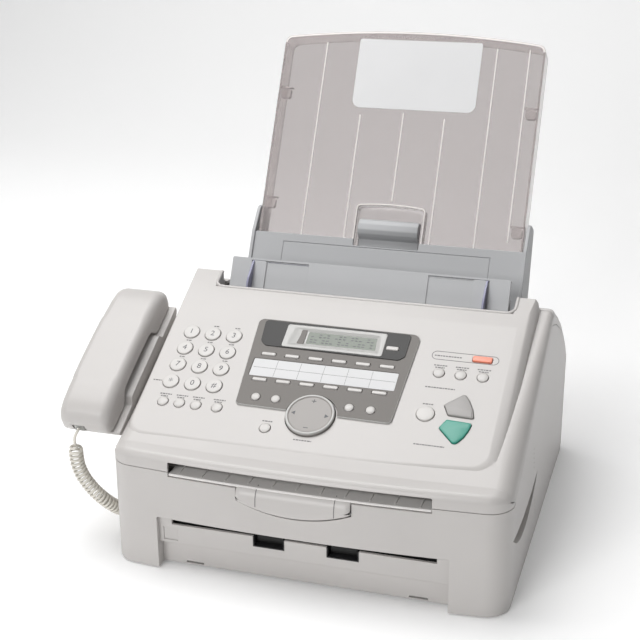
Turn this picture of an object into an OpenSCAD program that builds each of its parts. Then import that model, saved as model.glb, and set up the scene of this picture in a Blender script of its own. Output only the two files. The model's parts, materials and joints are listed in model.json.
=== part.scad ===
// Desktop laser fax machine: corded handset in a side cradle, sloping key panel on a lifting
// front cover, sheet-fed document table and an upright see-through paper tray.
// +X is the operator's right, the front faces -Y and +Z is up. The origin is on the surface
// that the machine stands on, under the middle of its overall box.

/* [Casing] */
// Width of the casing, without the handset
casing_w = 350; // [346:1:354]
// Depth of the casing along its sides
casing_d = 344; // [342:1:350]
// How far the middle of the front bows forward
front_bow = 8.5; // [6:0.5:10]
// Corner radius of the casing, seen from above
corner_r = 20; // [14:1:24]
// Wall thickness of the mouldings
wall = 2.8; // [2.4:0.1:3]
// Height of the seam between the cabinet and the front cover, at the front
seam_z = 96; // [96:0.5:97]

/* [Key panel] */
// Slope of the key panel
panel_tilt = 27.7; // [27:0.1:28.4]
// Left edge of the raised panel
panel_left = -167; // [-168:0.5:-166]
// Right edge of the raised panel
panel_right = 156; // [155:0.5:158]
// Distance between two dial keys in a row
dial_pitch_x = 20.7; // [20:0.1:21.5]
// Distance between two rows of dial keys
dial_pitch_v = 19.8; // [19:0.1:20.5]
// Radius of a dial key
dial_key_r = 7.3; // [6.5:0.1:7.6]
// Travel of a key
key_travel = 1; // [0.6:0.1:1.2]

/* [Paper tray] */
// Lean of the tray and of the document table, from upright
tray_lean = 28.7; // [28:0.1:29.5]
// Width of the see-through tray
tray_w = 266; // [264:1:267]
// Length of the tray above its reference line
tray_len = 246; // [230:1:250]
// Depth of the tray's side walls
tray_depth = 22; // [16:1:24]

/* [Handset] */
// Width of the handset
handset_w = 48; // [46:1:48]
// Gap between the handset and the casing
handset_gap = 6; // [6:0.5:7]
// Outer diameter of the curly cord's coil
coil_d = 13.5; // [12:0.5:14]
// Diameter of the cord itself
cord_d = 2.6; // [2.4:0.1:2.6]

/* [Hidden] */
$fn = 64;

// Casing levels and limits
half_w = casing_w / 2;
floor_gap = 1.5;
front_face_top = 107;
ridge_y = 12;
ridge_z = 113;
ridge_tilt = 23.3;
crown_y = 206;
split_gap = 0.3;
back_y = casing_d;
back_corner_r = 12;
back_seam_y = 329.6;
screw_x = [-150, 150];
screw_z = [18, 88];

// Foot of the key panel's plane, and the panel's limits along its slope
panel_y = 20.2;
panel_z = 116.7;
plateau_front = 8.5;
rim_v = 181.5;
ear_v = 206;
ear_inner = 142;
rim_depth = 12;
plateau_h = 24;

// Hinge of the front cover
hinge_y = 199;
hinge_z = 197;
hinge_pin_r = 2.5;
hinge_slack = 0.3;

// Slot that documents leave by, gap that printed paper leaves by
slot_left = -117;
slot_right = 112;
slot_top = 105;
slot_floor = 94.5;
gap_bottom = 45;
gap_top = 51;
gap_half = 114.5;
recess_left = -130;
recess_right = 127;
panel_at = 1;
panel_t = 3;
notches = [[-39.6, -11.8], [26, 54]];
notch_bottom = 36.5;

// Lifting lip under the document slot
lip_x = -4.5;
lip_half = 49.5;
lip_low = 72;
lip_sag = 10;
lip_front = -12.5;

// Planes that the tray and the document table lean on
tray_y = 262;
tray_z = 200;
table_y = 195;
table_z = 190;
table_half = 134.5;
table_top = 34.5;
guide_x = 112;
guide_travel = 40;
guide_t = 1.8;
slit_half = guide_travel / 2 + 8.5;
slit_mid = guide_x + 3 - slit_half;
slit_s = 31;
slit_w = 1.6;
bed_depth = 0.8;
rack_s = 24.8;
rack_n = -7.2;
rack_t = 2.6;
rack_reach = 8;
tooth_w = 0.8;
pinion_r = 4;
pinion_teeth = 12;
tooth_pitch = 2 * PI * pinion_r / pinion_teeth;

// Exit rollers
exit_y = 13.5;
exit_z = 40.5;
exit_r = 8;

// Handset and cradle, measured along and square to the key panel
handset_right = -half_w - handset_gap;
handset_left = handset_right - handset_w;
parting_h = 6;
cup_h = -8;
crown_h = 21;

// Whole box, which puts the origin under its middle
rear_reach = tray_y + tray_len * sin(tray_lean) + (tray_depth + 5.4) * cos(tray_lean);
casing_x = -(handset_left + half_w) / 2;
casing_y = -(lip_front + rear_reach) / 2;

// Route of the curly cord, from the handset to the jack on the left side
lead_route = [
    [-210.5, 19.2, 114], [-211.3, 16.6, 111.5], [-213, 15.6, 107.5], [-214.3, 16.4, 102], [-214.5, 18, 97]
];
coil_route = [
    [-214.5, 18, 97], [-215, 19, 88], [-214.5, 20, 78], [-212, 22, 67], [-208, 25, 57],
    [-203, 29, 47], [-197.5, 35, 37], [-193.5, 43, 28], [-191.5, 53, 20], [-190.5, 65, 13.5],
    [-190, 79, 10], [-190, 95, 9], [-190, 112, 9], [-190, 129, 9.5], [-190, 145, 12],
    [-190, 159, 16], [-190, 171, 21]
];
tail_route = [
    [-190, 171, 21], [-190, 176, 23.5], [-190.5, 181, 25.5], [-191.5, 186, 27], [-192, 191, 27.8],
    [-191, 195.5, 28], [-188.5, 198.5, 28], [-185, 200, 28]
];
jack_y = 200;
jack_z = 28;

// Colours
c_case = [0.90, 0.89, 0.87];
c_key = [0.92, 0.91, 0.89];
c_grey = [0.70, 0.70, 0.71];
c_dark = [0.22, 0.22, 0.23];
c_metal = [0.75, 0.76, 0.78];
c_board = [0.16, 0.38, 0.24];
c_guide = [0.62, 0.61, 0.74];
c_tray = [0.80, 0.76, 0.77, 0.5];

// ---------- placing helpers ----------

module in_casing() {
    translate([casing_x, casing_y, 0]) children();
}

// Extrudes a (y, z) outline from x0 to x1
module along_x(x0, x1) {
    translate([x0, 0, 0]) rotate([90, 0, 90]) linear_extrude(x1 - x0) children();
}

// Frame of the key panel: x across, y up the slope, z square out of it
module on_panel(x = 0, v = 0, h = 0) {
    in_casing() translate([0, panel_y, panel_z]) rotate([panel_tilt, 0, 0]) translate([x, v, h]) children();
}

// Frame of a leaning plane: x across, y up the plane, z towards the front
module on_lean(y0, z0) {
    in_casing() translate([0, y0, z0]) rotate([90 - tray_lean, 0, 0]) children();
}

module on_tray() {
    on_lean(tray_y, tray_z) children();
}

module on_table() {
    on_lean(table_y, table_z) children();
}

module rounded_rect(x0, y0, x1, y1, r) {
    translate([x0 + r, y0]) square([x1 - x0 - 2 * r, y1 - y0]);
    translate([x0, y0 + r]) square([x1 - x0, y1 - y0 - 2 * r]);
    for (x = [x0 + r, x1 - r], y = [y0 + r, y1 - r]) translate([x, y]) circle(r);
}

// ---------- casing outlines ----------

function front_y(x) = -front_bow * (1 - pow(x / half_w, 2));

// Casing seen from above, moved in by t
module plan(t = 0) {
    r = corner_r - t;
    rb = back_corner_r - t;
    cx = half_w - corner_r;
    cy = front_y(cx) + corner_r;
    bx = half_w - back_corner_r;
    by = back_y - back_corner_r;
    polygon(concat(
        [for (x = [-cx : cx / 8 : cx]) [x, front_y(x) + t]],
        [for (a = [-78 : 13 : 0]) [cx + r * cos(a), cy + r * sin(a)]],
        [for (a = [0 : 15 : 90]) [bx + rb * cos(a), by + rb * sin(a)]],
        [for (a = [90 : 15 : 180]) [-bx + rb * cos(a), by + rb * sin(a)]],
        [for (a = [180 : 13 : 258]) [-cx + r * cos(a), cy + r * sin(a)]]
    ));
}

// Upper line of the casing's sides, front to back
function top_line(d = 0) = [
    [-14, front_face_top - d], [-4, ridge_z - 1.5 - d], [ridge_y, ridge_z - d],
    [crown_y, ridge_z + (crown_y - ridge_y) * tan(ridge_tilt) - d], [219, 194 - d],
    [232, 188.5 - d], [256, 178 - d], [282, 163.5 - d], [308, 143.5 - d], [330, 124 - d],
    [back_y, 107 - d]
];

module side_outline() {
    polygon(concat([[-14, floor_gap]], top_line(), [[back_y, floor_gap]]));
}

module side_outline_inset(t) {
    intersection() {
        translate([t, 0]) side_outline();
        translate([-t, 0]) side_outline();
        translate([0, -t]) side_outline();
    }
}

module casing_solid(t = 0) {
    intersection() {
        along_x(-half_w + t, half_w - t) side_outline_inset(t);
        linear_extrude(260) plan(t);
    }
}

// Everything that lies under the casing's seams
module under_seam(gap) {
    polygon([
        [-20, -1], [-20, seam_z - gap], [ridge_y, seam_z - gap],
        [crown_y, 183 - gap], [232, 174.5 - gap], [282, 149.5 - gap], [308, 129.5 - gap],
        [back_seam_y - gap, 110 - gap], [back_seam_y - gap, -1]
    ]);
}

module over_seam(gap, y0, y1) {
    difference() {
        translate([y0, -2]) square([y1 - y0, 260]);
        under_seam(-gap);
    }
}

// ---------- cabinet ----------

module base_plate() {
    color(c_metal) in_casing() translate([0, 0, 3]) linear_extrude(2) intersection() {
        plan(wall + 0.4);
        translate([-half_w, 14]) square([casing_w, back_seam_y - 16]);
    }
}

// Smile-shaped carrying recess in the right side
module grip_outline() {
    grip_y = 84;
    grip_half = 66;
    intersection() {
        difference() {
            translate([grip_y, 147]) circle(106, $fn = 180);
            translate([grip_y, 424]) circle(366, $fn = 360);
        }
        translate([grip_y - grip_half, 30]) square([2 * grip_half, 40]);
    }
}

module lip_outline(grow) {
    lip_r = (pow(lip_half, 2) + pow(lip_sag, 2)) / (2 * lip_sag);
    intersection() {
        translate([lip_x, lip_low + lip_r]) circle(lip_r + grow, $fn = 240);
        translate([lip_x - lip_half - grow, lip_low - grow]) square([2 * (lip_half + grow), 40]);
    }
}

module lower_cabinet() {
    color(c_case) in_casing() difference() {
        intersection() {
            casing_solid();
            along_x(-half_w, half_w) under_seam(split_gap);
        }
        difference() {
            casing_solid(wall);
            // thicker wall behind the carrying recess
            translate([half_w - 10, 12, 34]) cube([12, 144, 38]);
        }
        translate([recess_left, -20, -1]) cube([recess_right - recess_left, 40, gap_top + 1]);
        // lifting lip and document slot
        translate([0, 8, 0]) rotate([90, 0, 0]) linear_extrude(30) lip_outline(0.7);
        translate([slot_left, -20, slot_floor - 3]) cube([slot_right - slot_left, 32, 20]);
        along_x(half_w - 7.2, half_w + 1) grip_outline();
        // sound holes of the speaker
        for (i = [0 : 4]) translate([half_w - 8, 118 + 1.6 * i, 100 - 5.2 * i])
            rotate([0, 90, 0]) cylinder(h = 12, r = 1);
        // hole of the handset jack
        translate([-half_w - 1, jack_y - 7, jack_z - 7]) cube([8, 14, 14]);
    }
}

// Panel set back between the front legs, its ends, and the roof of the paper gap
module exit_panel() {
    end_t = 2.6;
    color(c_case) in_casing() {
        difference() {
            translate([recess_left, panel_at, floor_gap + 1])
                cube([recess_right - recess_left, panel_t, gap_bottom - floor_gap - 1]);
            for (n = notches) translate([n[0], -5, notch_bottom]) cube([n[1] - n[0], 20, 20]);
            translate([recess_left + 3, panel_at - 1, -1]) cube([recess_right - recess_left - 6, 2.2, 25]);
        }
        end_d = panel_at + panel_t + 0.7;
        for (x = [recess_left - end_t, recess_right])
            translate([x, -0.7, floor_gap]) cube([end_t, end_d, gap_top + 1 - floor_gap]);
        translate([0, 0, gap_top]) linear_extrude(2) intersection() {
            plan(wall + 0.1);
            translate([recess_left - end_t, -20]) square([recess_right - recess_left + 2 * end_t, 28]);
        }
        // blocks that close the ends of the paper gap
        for (span = [[recess_left, -gap_half], [gap_half, recess_right]])
            translate([span[0], panel_at, gap_bottom - 0.1]) cube([span[1] - span[0], panel_t, 7]);
    }
}

module rear_cover() {
    color(c_case) in_casing() difference() {
        intersection() {
            casing_solid();
            along_x(-half_w, half_w) over_seam(split_gap, crown_y + 0.6, back_y + 1);
        }
        casing_solid(wall);
        translate([-half_w - 1, back_seam_y - 2, -1]) cube([casing_w + 2, 10, 8]);
        // room for the tray base and the paper pocket
        translate([-139.5, 200, 100]) cube([279, 107, 120]);
        // power inlet, line sockets, screw holes and air slots
        translate([-134.3, back_y - 6, 27.7]) cube([28.6, 12, 20.6]);
        for (x = [-70, -50]) translate([x - 7, back_y - 6, 24]) cube([14, 12, 12]);
        for (x = screw_x, z = screw_z) translate([x, back_y - 8, z]) rotate([-90, 0, 0])
            cylinder(h = 16, r = 2.2);
        for (i = [0 : 9]) translate([60 + 7 * i, back_y - 6, 40]) cube([3, 12, 34]);
    }
}

module rubber_feet() {
    color(c_dark) in_casing() for (x = [-150, 150], y = [30, 312])
        translate([x, y, 0]) cylinder(h = 3, r1 = 7.5, r2 = 8.5);
}

module case_screws() {
    color(c_metal) in_casing() for (x = screw_x, z = screw_z) translate([x, back_y, z]) rotate([-90, 0, 0]) {
        difference() {
            cylinder(h = 1.6, r = 3.8);
            translate([-2.6, -0.5, 0.8]) cube([5.2, 1, 2]);
            translate([-0.5, -2.6, 0.8]) cube([1, 5.2, 2]);
        }
        translate([0, 0, -9]) cylinder(h = 9.2, r = 1.8);
    }
}

module hinge_brackets() {
    color(c_metal) in_casing() for (s = [-1, 1]) {
        translate([s * 152 - 6, hinge_y, hinge_z]) rotate([0, 90, 0]) cylinder(h = 12, r = hinge_pin_r);
        // cheek that carries the pin, and its foot on the casing's side
        along_x(s * 145 - 1.5, s * 145 + 1.5) polygon([
            [hinge_y - 4.5, hinge_z - 2], [hinge_y - 3, hinge_z + 4], [hinge_y + 2, hinge_z + 4],
            [hinge_y + 12, hinge_z - 14], [hinge_y + 14, hinge_z - 40], [hinge_y + 4, hinge_z - 40]
        ]);
        along_x(min(s * 144, s * (half_w - wall)), max(s * 144, s * (half_w - wall)))
            translate([hinge_y + 3, hinge_z - 40]) square([11, 6]);
    }
}

// ---------- handset cradle ----------

module handset_cradle() {
    left = handset_left + 1.5;
    right = -half_w - 0.7;
    color(c_case) {
        difference() {
            on_panel() along_x(left, right) polygon([
                [2, -11], [2, -9.2], [35.4, -8.6], [39.4, -1.6], [112.6, -1.6], [116.6, -8.6],
                [163, -8.6], [163, -12], [152, -26], [16, -26]
            ]);
            on_panel(handset_left + handset_w / 2, 132, -24) cylinder(h = 30, r = 4.4);
        }
        // bracket that fastens the cradle to the casing's left side
        in_casing() along_x(-half_w - 3.5, -half_w)
            polygon([[50, 62], [50, 104.8], [110, 136.3], [118, 134], [118, 84]]);
    }
}

module hook_switch() {
    color(c_key) on_panel(handset_left + handset_w / 2, 132, -22) cylinder(h = 13.6, r = 4);
}

// ---------- tray, table and guides ----------

module document_table() {
    color(c_grey) on_table() difference() {
        union() {
            translate([-table_half, -16, -3]) cube([2 * table_half, table_top + 16, 3]);
            translate([-table_half, table_top - 1.2, -8]) cube([2 * table_half, 1.2, 6]);
            for (s = [-1, 1])
                translate([s * (table_half - 1.2) - 1.2, -16, -14]) cube([2.4, table_top + 14, 12]);
        }
        // slits for the guides' arms, and the shallow beds that the guides slide on
        for (s = [-1, 1]) {
            translate([s * slit_mid - slit_half, slit_s, -9]) cube([2 * slit_half, slit_w, 12]);
            translate([s * slit_mid - slit_half, -12, -bed_depth])
                cube([2 * slit_half, 12 + slit_s + slit_w, 2]);
        }
    }
}

// Document guide: fin, shoe that slides on the table and neck through the slit. Side is -1 or 1.
module guide_arm(side) {
    outer = side * (guide_x + guide_t);
    along_x(min(side * guide_x, outer), max(side * guide_x, outer))
        polygon([
            [-6, -0.2], [-6, 4], [-3, 5], [0, 8], [3, 10.5], [8, 11.6], [14, 10.2], [24, 5.5], [32, 1.4],
            [32, 0.2], [0, -0.2]
        ]);
    translate([side * (guide_x + guide_t - 7) - 7, 2, -0.45]) cube([14, slit_s - 0.7, 0.9]);
    translate([side * (guide_x - 3) - 5, slit_s + 0.3, rack_n]) cube([10, slit_w - 0.6, -rack_n + 0.45]);
}

// Toothed rack that reaches past the pinion. The left one runs above the pinion, the right one below.
module rack(side) {
    gap = 0.5;
    bar_w = 2;
    away = pinion_r + tooth_w + gap;
    bar_s = side < 0 ? rack_s + away : rack_s - away - bar_w;
    tooth_s = side < 0 ? bar_s - tooth_w - gap : bar_s + bar_w - 0.1;
    translate([min(side * (guide_x + 2), -side * rack_reach), bar_s, rack_n])
        cube([guide_x + 2 + rack_reach, bar_w, rack_t]);
    for (i = [-3 : 22]) translate([side * tooth_pitch * (i + 0.5) - tooth_w / 2, tooth_s, rack_n])
        cube([tooth_w, tooth_w + gap + 0.1, rack_t]);
}

module left_guide() {
    color(c_guide) on_table() {
        guide_arm(-1);
        rack(-1);
    }
}

module right_guide() {
    color(c_guide) on_table() {
        guide_arm(1);
        rack(1);
        // leg from the neck down to the rack
        leg_s = rack_s - pinion_r - 3;
        translate([guide_x - 8, leg_s, rack_n]) cube([8, slit_s + slit_w - 0.3 - leg_s, rack_t]);
    }
}

module guide_pinion() {
    pitch_a = 360 / pinion_teeth;
    color(c_key) on_table() translate([0, rack_s, -7]) difference() {
        union() {
            cylinder(h = 2.2, r = pinion_r - 0.9);
            for (i = [0 : pinion_teeth - 1]) rotate([0, 0, i * pitch_a]) translate([0, -0.35, 0])
                cube([pinion_r + 0.6, 0.7, 2.2]);
        }
        translate([0, 0, -1]) cylinder(h = 5, r = 1.2);
    }
}

module paper_tray_base() {
    plate_half = 135.4;
    color(c_grey) on_tray() {
        difference() {
            translate([-plate_half, -50, -3]) cube([2 * plate_half, 81, 3]);
            translate([-33, 24, -4]) cube([66, 10, 6]);
            for (s = [-1, 1]) translate([s * 104 - 0.4, -20, -0.5]) cube([0.8, 60, 2]);
        }
        for (s = [-1, 1]) along_x(s * 136.6 - 1.7, s * 136.6 + 1.7)
            polygon([[-50, -42], [-50, 2], [31, 2], [60, -6], [60, -31], [-6, -44]]);
        translate([-136, -50, -44]) cube([272, 40, 2]);
        translate([-plate_half, -52, -3]) cube([2 * plate_half, 2.2, 30]);
    }
}

// Face of the tray: arched top edge with rounded corners
module tray_face() {
    arch = 9;
    r = 14;
    half = tray_w / 2;
    arch_r = (pow(half, 2) + pow(arch, 2)) / (2 * arch);
    shoulder = tray_len - arch * pow((half - r) / half, 2);
    rounded_rect(-half, 5, half, shoulder, r);
    intersection() {
        translate([-half + r, 20]) square([tray_w - 2 * r, tray_len]);
        translate([0, tray_len - arch_r]) circle(arch_r, $fn = 360);
    }
}

module paper_tray() {
    t = 2;
    half = tray_w / 2;
    color(c_tray) on_tray() {
        translate([0, 0, -5.4]) difference() {
            linear_extrude(t) tray_face();
            // arched window over the tension plate, open at the bottom
            translate([-33.5, 0, -1]) cube([67, 54, 4]);
            translate([0, 54, -1]) linear_extrude(4) intersection() {
                translate([0, -62]) circle(70.2, $fn = 120);
                translate([-33.5, -1]) square([67, 12]);
            }
        }
        // side and top walls that turn back from the face
        translate([0, 0, -5.4 - tray_depth]) difference() {
            linear_extrude(tray_depth + 0.01) tray_face();
            translate([0, 0, -1]) linear_extrude(tray_depth + 3) translate([0, -t]) intersection() {
                translate([-half + t, -10]) square([tray_w - 2 * t, tray_len + 20]);
                tray_face_shrunk(t);
            }
            translate([-half - 1, -1, -1]) cube([tray_w + 2, 20, tray_depth + 3]);
        }
        // stiffening ribs
        for (x = [-88, -44, 0, 42, 86]) translate([x - 0.5, abs(x) < 40 ? 72 : 34, -3.5])
            cube([1, tray_len - 22 - (abs(x) < 40 ? 72 : 34), 0.7]);
    }
}

module tray_face_shrunk(t) {
    intersection() {
        translate([0, t]) tray_face_open();
        translate([t, 0]) tray_face_open();
        translate([-t, 0]) tray_face_open();
    }
}

module tray_face_open() {
    tray_face();
    translate([-tray_w / 2, -20]) square([tray_w, 60]);
}

module tension_plate() {
    color(c_grey) on_tray() {
        difference() {
            translate([-30.5, 36, -9]) rotate([0, 90, 0]) cylinder(h = 61, r = 10);
            translate([-32, 20, -30]) cube([64, 40, 18.5]);
            translate([-32, 20, -11.6]) cube([64, 6.5, 20]);
        }
        translate([-30, -8, -11.8]) cube([60, 36, 2]);
        translate([-40, -10, -12]) rotate([0, 90, 0]) cylinder(h = 80, r = 2.6);
    }
}

// ---------- inside ----------

module main_board() {
    color(c_board) in_casing() {
        board_z = 14;
        translate([10, 198, board_z]) cube([145, 122, 1.6]);
        for (p = [[30, 210], [80, 210], [110, 260], [50, 270]])
            translate([p[0], p[1], board_z + 1.6]) cube([24, 24, 3]);
        for (x = [14, 151], y = [202, 316]) translate([x, y, board_z - 9]) cylinder(h = 9, r = 2.2);
    }
}

module power_supply() {
    color(c_metal) in_casing() difference() {
        translate([-160, 196, 8]) cube([110, 120, 58]);
        for (i = [0 : 7]) translate([-150 + 12 * i, 190, 56]) cube([5, 130, 20]);
    }
}

module laser_unit() {
    color(c_dark) in_casing() {
        translate([-110, 192, 84]) cube([220, 100, 30]);
        translate([-40, 225, 114]) cylinder(h = 10, r = 26);
        for (x = [-100, 84]) translate([x, 186, 5]) cube([16, 8, 85]);
    }
}

module toner_unit() {
    color(c_dark) in_casing() {
        along_x(-118, 118)
            polygon([[72, 66], [72, 92], [110, 114], [168, 132], [180, 122], [180, 84], [140, 66]]);
        // drum, and the grip on top
        translate([-112, 100, 63]) rotate([0, 90, 0]) cylinder(h = 224, r = 14);
        along_x(-20, 20) polygon([[100, 106], [98, 112], [112, 119], [116, 114]]);
    }
}

module fuser_unit() {
    color(c_metal) in_casing() difference() {
        along_x(-124, 124) polygon([[26, 58], [26, 82], [34, 88], [60, 88], [66, 80], [66, 58]]);
        for (i = [0 : 18]) translate([-112 + 12 * i, 20, 84]) cube([4, 60, 10]);
    }
}

module speaker() {
    color(c_dark) in_casing() translate([half_w - wall - 9, 122, 92]) rotate([0, 90, 0]) difference() {
        union() {
            cylinder(h = 3, r = 13);
            translate([0, 0, 3]) cylinder(h = 5, r1 = 13, r2 = 19);
        }
        translate([0, 0, 4]) cylinder(h = 5, r1 = 9, r2 = 17);
    }
}

module ac_inlet() {
    color(c_dark) in_casing() difference() {
        union() {
            translate([-134, back_y - 22, 28]) cube([28, 22, 20]);
            translate([-138, back_y, 24]) cube([36, 1.6, 28]);
        }
        translate([-131.5, back_y - 16, 30.5]) cube([23, 20, 15]);
    }
}

module modular_jack() {
    difference() {
        union() {
            translate([-6.6, -5.6, 0]) cube([13.2, 11.2, 12]);
            translate([-8, -7.2, 11.4]) cube([16, 14.4, 1.2]);
        }
        translate([-4.4, -3.6, 3]) cube([8.8, 7.2, 12]);
    }
}

module modular_jacks() {
    color(c_dark) in_casing() {
        for (x = [-70, -50]) translate([x, back_y - 11.4, 30]) rotate([-90, 0, 0]) modular_jack();
        translate([-half_w + 11.4, jack_y, jack_z]) rotate([0, -90, 0]) modular_jack();
    }
}

// ---------- rollers ----------

module exit_rollers() {
    color(c_dark) in_casing() {
        translate([-128, exit_y, exit_z]) rotate([0, 90, 0]) cylinder(h = 252, r = 3);
        for (n = notches) translate([n[0] + 2, exit_y, exit_z]) rotate([0, 90, 0])
            cylinder(h = n[1] - n[0] - 4, r = exit_r);
    }
}

module pickup_roller() {
    color(c_dark) on_tray() translate([0, -33, 25]) {
        translate([-130, 0, 0]) rotate([0, 90, 0]) cylinder(h = 260, r = 3);
        translate([-22, 0, 0]) rotate([0, 90, 0]) cylinder(h = 44, r = 10);
    }
}

module feed_roller() {
    color(c_dark) on_panel(0, 150, -22.4) {
        translate([-140, 0, 0]) rotate([0, 90, 0]) cylinder(h = 280, r = 2.5);
        for (x = [-50, 0, 50]) translate([x - 12, 0, 0]) rotate([0, 90, 0]) cylinder(h = 24, r = 6.6);
    }
}

// ---------- front cover and its panel ----------

// Raised part of the panel, moved in by t
module plateau(t = 0) {
    top = -t;
    intersection() {
        on_panel_local() rotate([-90, 0, 0]) mirror([0, 1, 0]) linear_extrude(ear_v + 8) polygon([
            [panel_left - 5 + t, -plateau_h], [panel_left - 3.5 + t, -8], [panel_left + t, top],
            [panel_right - t, top], [panel_right + 5 - t, -8], [panel_right + 9 - t, -plateau_h]
        ]);
        on_panel_local() along_x(-half_w, half_w) polygon([
            [plateau_front + t, top], [ear_v + (t > 0 ? 6 : 0), top],
            [ear_v - 8 + (t > 0 ? 14 : 0), -plateau_h], [-9 + t, -plateau_h], [1 + t, -5]
        ]);
    }
}

module on_panel_local() {
    translate([0, panel_y, panel_z]) rotate([panel_tilt, 0, 0]) children();
}

// Hole that a round key leaves in the panel
module round_hole(p, r) {
    translate([p[0], p[1], -12]) cylinder(h = 20, r = r);
}

dial_left = -144.6;
dial_low = 59.9;
dial_keys = [
    for (row = [0 : 3], col = [0 : 2]) [dial_left + col * dial_pitch_x, dial_low + row * dial_pitch_v]
];
function_keys = [[-144.1, 37], [-128.5, 37], [-113, 37], [-93.3, 37]];
mode_keys = [[90.7, 102.7], [109.8, 102.7], [129, 102.7]];
small_key_r = 4.8;
menu_at = [-44.3, 21.7];
nav_at = [-8.7, 40];
nav_r = 21.4;
stop_at = [88.4, 57];
stop_r = 7.7;
answer_at = [125.3, 122.5];
station_x = [for (i = [0 : 5]) -64.2 + 21.8 * i];
station_v = [72.3, 102];
bezel_round_keys = [[-61.8, 52.7], [-43.5, 52.7], [22.8, 52.7], [41.7, 52.7]];
display_key_at = [45, 122.8];
bezel_t = 1.6;
key_h = 7;
display_t = 0.8;

module copy_outline() {
    polygon([
        [102.4, 68.4], [116.3, 81], [118.6, 81], [123, 75], [127, 67], [129.4, 58.6], [128.6, 57.2],
        [107.6, 58]
    ]);
}

module fax_outline() {
    polygon([
        [107.4, 53], [128, 52], [129, 50.6], [127.6, 44], [124.6, 36.4], [120.4, 30.6], [118.4, 29.6],
        [116.4, 30], [103, 43.4], [103.2, 45]
    ]);
}

// A key's hole: its own outline with slack on every side
module grow_outline(d) {
    for (a = [0 : 45 : 315]) translate([d * cos(a), d * sin(a)]) children();
    children();
}

module slab_hole(w, d, slack) {
    translate([-w / 2 - slack, -d / 2 - slack, -12]) cube([w + 2 * slack, d + 2 * slack, 24]);
}

module cover_holes() {
    slack = 0.4;
    for (p = dial_keys) round_hole(p, dial_key_r + slack);
    for (p = concat(function_keys, mode_keys, [menu_at])) round_hole(p, small_key_r + slack);
    round_hole(nav_at, nav_r + 0.8);
    round_hole(stop_at, stop_r + slack);
    translate([answer_at[0], answer_at[1], 0]) slab_hole(17, 6, slack);
    translate([0, 0, -12]) linear_extrude(24) grow_outline(slack) copy_outline();
    translate([0, 0, -12]) linear_extrude(24) grow_outline(slack) fax_outline();
    bezel_holes();
}

module bezel_holes() {
    slack = 0.4;
    for (x = station_x, v = station_v) translate([x, v, 0]) slab_hole(13, 3.2, slack);
    for (p = bezel_round_keys) round_hole(p, 4 + slack);
    translate([display_key_at[0], display_key_at[1], 0]) slab_hole(11, 4, slack);
}

module front_cover() {
    boss_r = 5.2;
    color(c_case) in_casing() difference() {
        union() {
            intersection() {
                casing_solid();
                along_x(-half_w, half_w) over_seam(split_gap, -20, crown_y);
            }
            intersection() {
                plateau();
                linear_extrude(260) plan();
                along_x(-half_w, half_w) over_seam(split_gap, -20, crown_y + 4);
            }
        }
        difference() {
            union() {
                casing_solid(wall);
                plateau(wall);
            }
            // rim round the mouth of the document entrance, and hinge bosses
            on_panel_local() {
                translate([-ear_inner - wall, rim_v - wall, -rim_depth])
                    cube([2 * (ear_inner + wall), wall + 2, rim_depth + 8]);
                for (s = [-1, 1]) translate([s * (ear_inner + wall / 2) - wall, rim_v - wall, -rim_depth])
                    cube([2 * wall, 9, rim_depth + 8]);
            }
            for (s = [-1, 1]) {
                translate([s * 154 - 5, hinge_y, hinge_z]) rotate([0, 90, 0]) cylinder(h = 10, r = boss_r);
                along_x(s * 154 - 5, s * 154 + 5) polygon([
                    [hinge_y - boss_r, hinge_z], [hinge_y + boss_r, hinge_z],
                    [hinge_y + 4, hinge_z + 12], [hinge_y - 16, hinge_z + 10]
                ]);
            }
        }
        // mouth of the document entrance
        on_panel_local() translate([-ear_inner, rim_v, -60]) cube([2 * ear_inner, 60, 100]);
        // slot above the lifting lip
        translate([slot_left, -20, seam_z - 4]) cube([slot_right - slot_left, 30, slot_top - seam_z + 4]);
        for (s = [-1, 1]) translate([s * 154 - 6, hinge_y, hinge_z]) rotate([0, 90, 0])
            cylinder(h = 12, r = hinge_pin_r + hinge_slack);
        // room for the cheeks that hold the hinge pins
        for (s = [-1, 1]) translate([s * 145 - 2.6, hinge_y - 8, hinge_z - 60]) cube([5.2, 40, 66]);
        on_panel_local() cover_holes();
    }
}

module document_guide() {
    plate = 2.5;
    color(c_case) in_casing() {
        along_x(-158, 158) polygon([
            [10.5, slot_floor - plate], [10.5, slot_floor], [42.5, slot_floor], [178, 165.7],
            [179.2, 163.5], [43, slot_floor - plate]
        ]);
        difference() {
            translate([slot_left + 0.6, -6.5, slot_floor - plate])
                cube([slot_right - slot_left - 1.2, 17.1, plate]);
            translate([0, 0, slot_floor - plate - 1]) linear_extrude(plate + 2) difference() {
                translate([-half_w, -20]) square([casing_w, 60]);
                plan(0.4);
                translate([-half_w, 0]) square([casing_w, 60]);
            }
        }
        // ribs along the slot's floor
        for (i = [0 : 10]) translate([-108 + 21 * i, -2, slot_floor - 0.1]) cube([1, 40, 0.7]);
        // lifting lip
        intersection() {
            translate([0, 8, 0]) rotate([90, 0, 0]) linear_extrude(30) lip_outline(0);
            along_x(-80, 80) polygon([
                [-2, slot_floor - 0.1], [-6, slot_floor - 0.6], [-9.6, 91], [-11.6, 86.5], [lip_front, 81],
                [lip_front, 70], [-5, 70], [-5.4, 88], [-2, 91.5]
            ]);
        }
    }
}

module bezel_outline() {
    polygon([
        [-84.9, 143.2], [67, 142.1], [62, 48], [60.6, 44], [57, 41.8], [-73, 43.4], [-76.4, 45],
        [-77.9, 48.6]
    ]);
}

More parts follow.
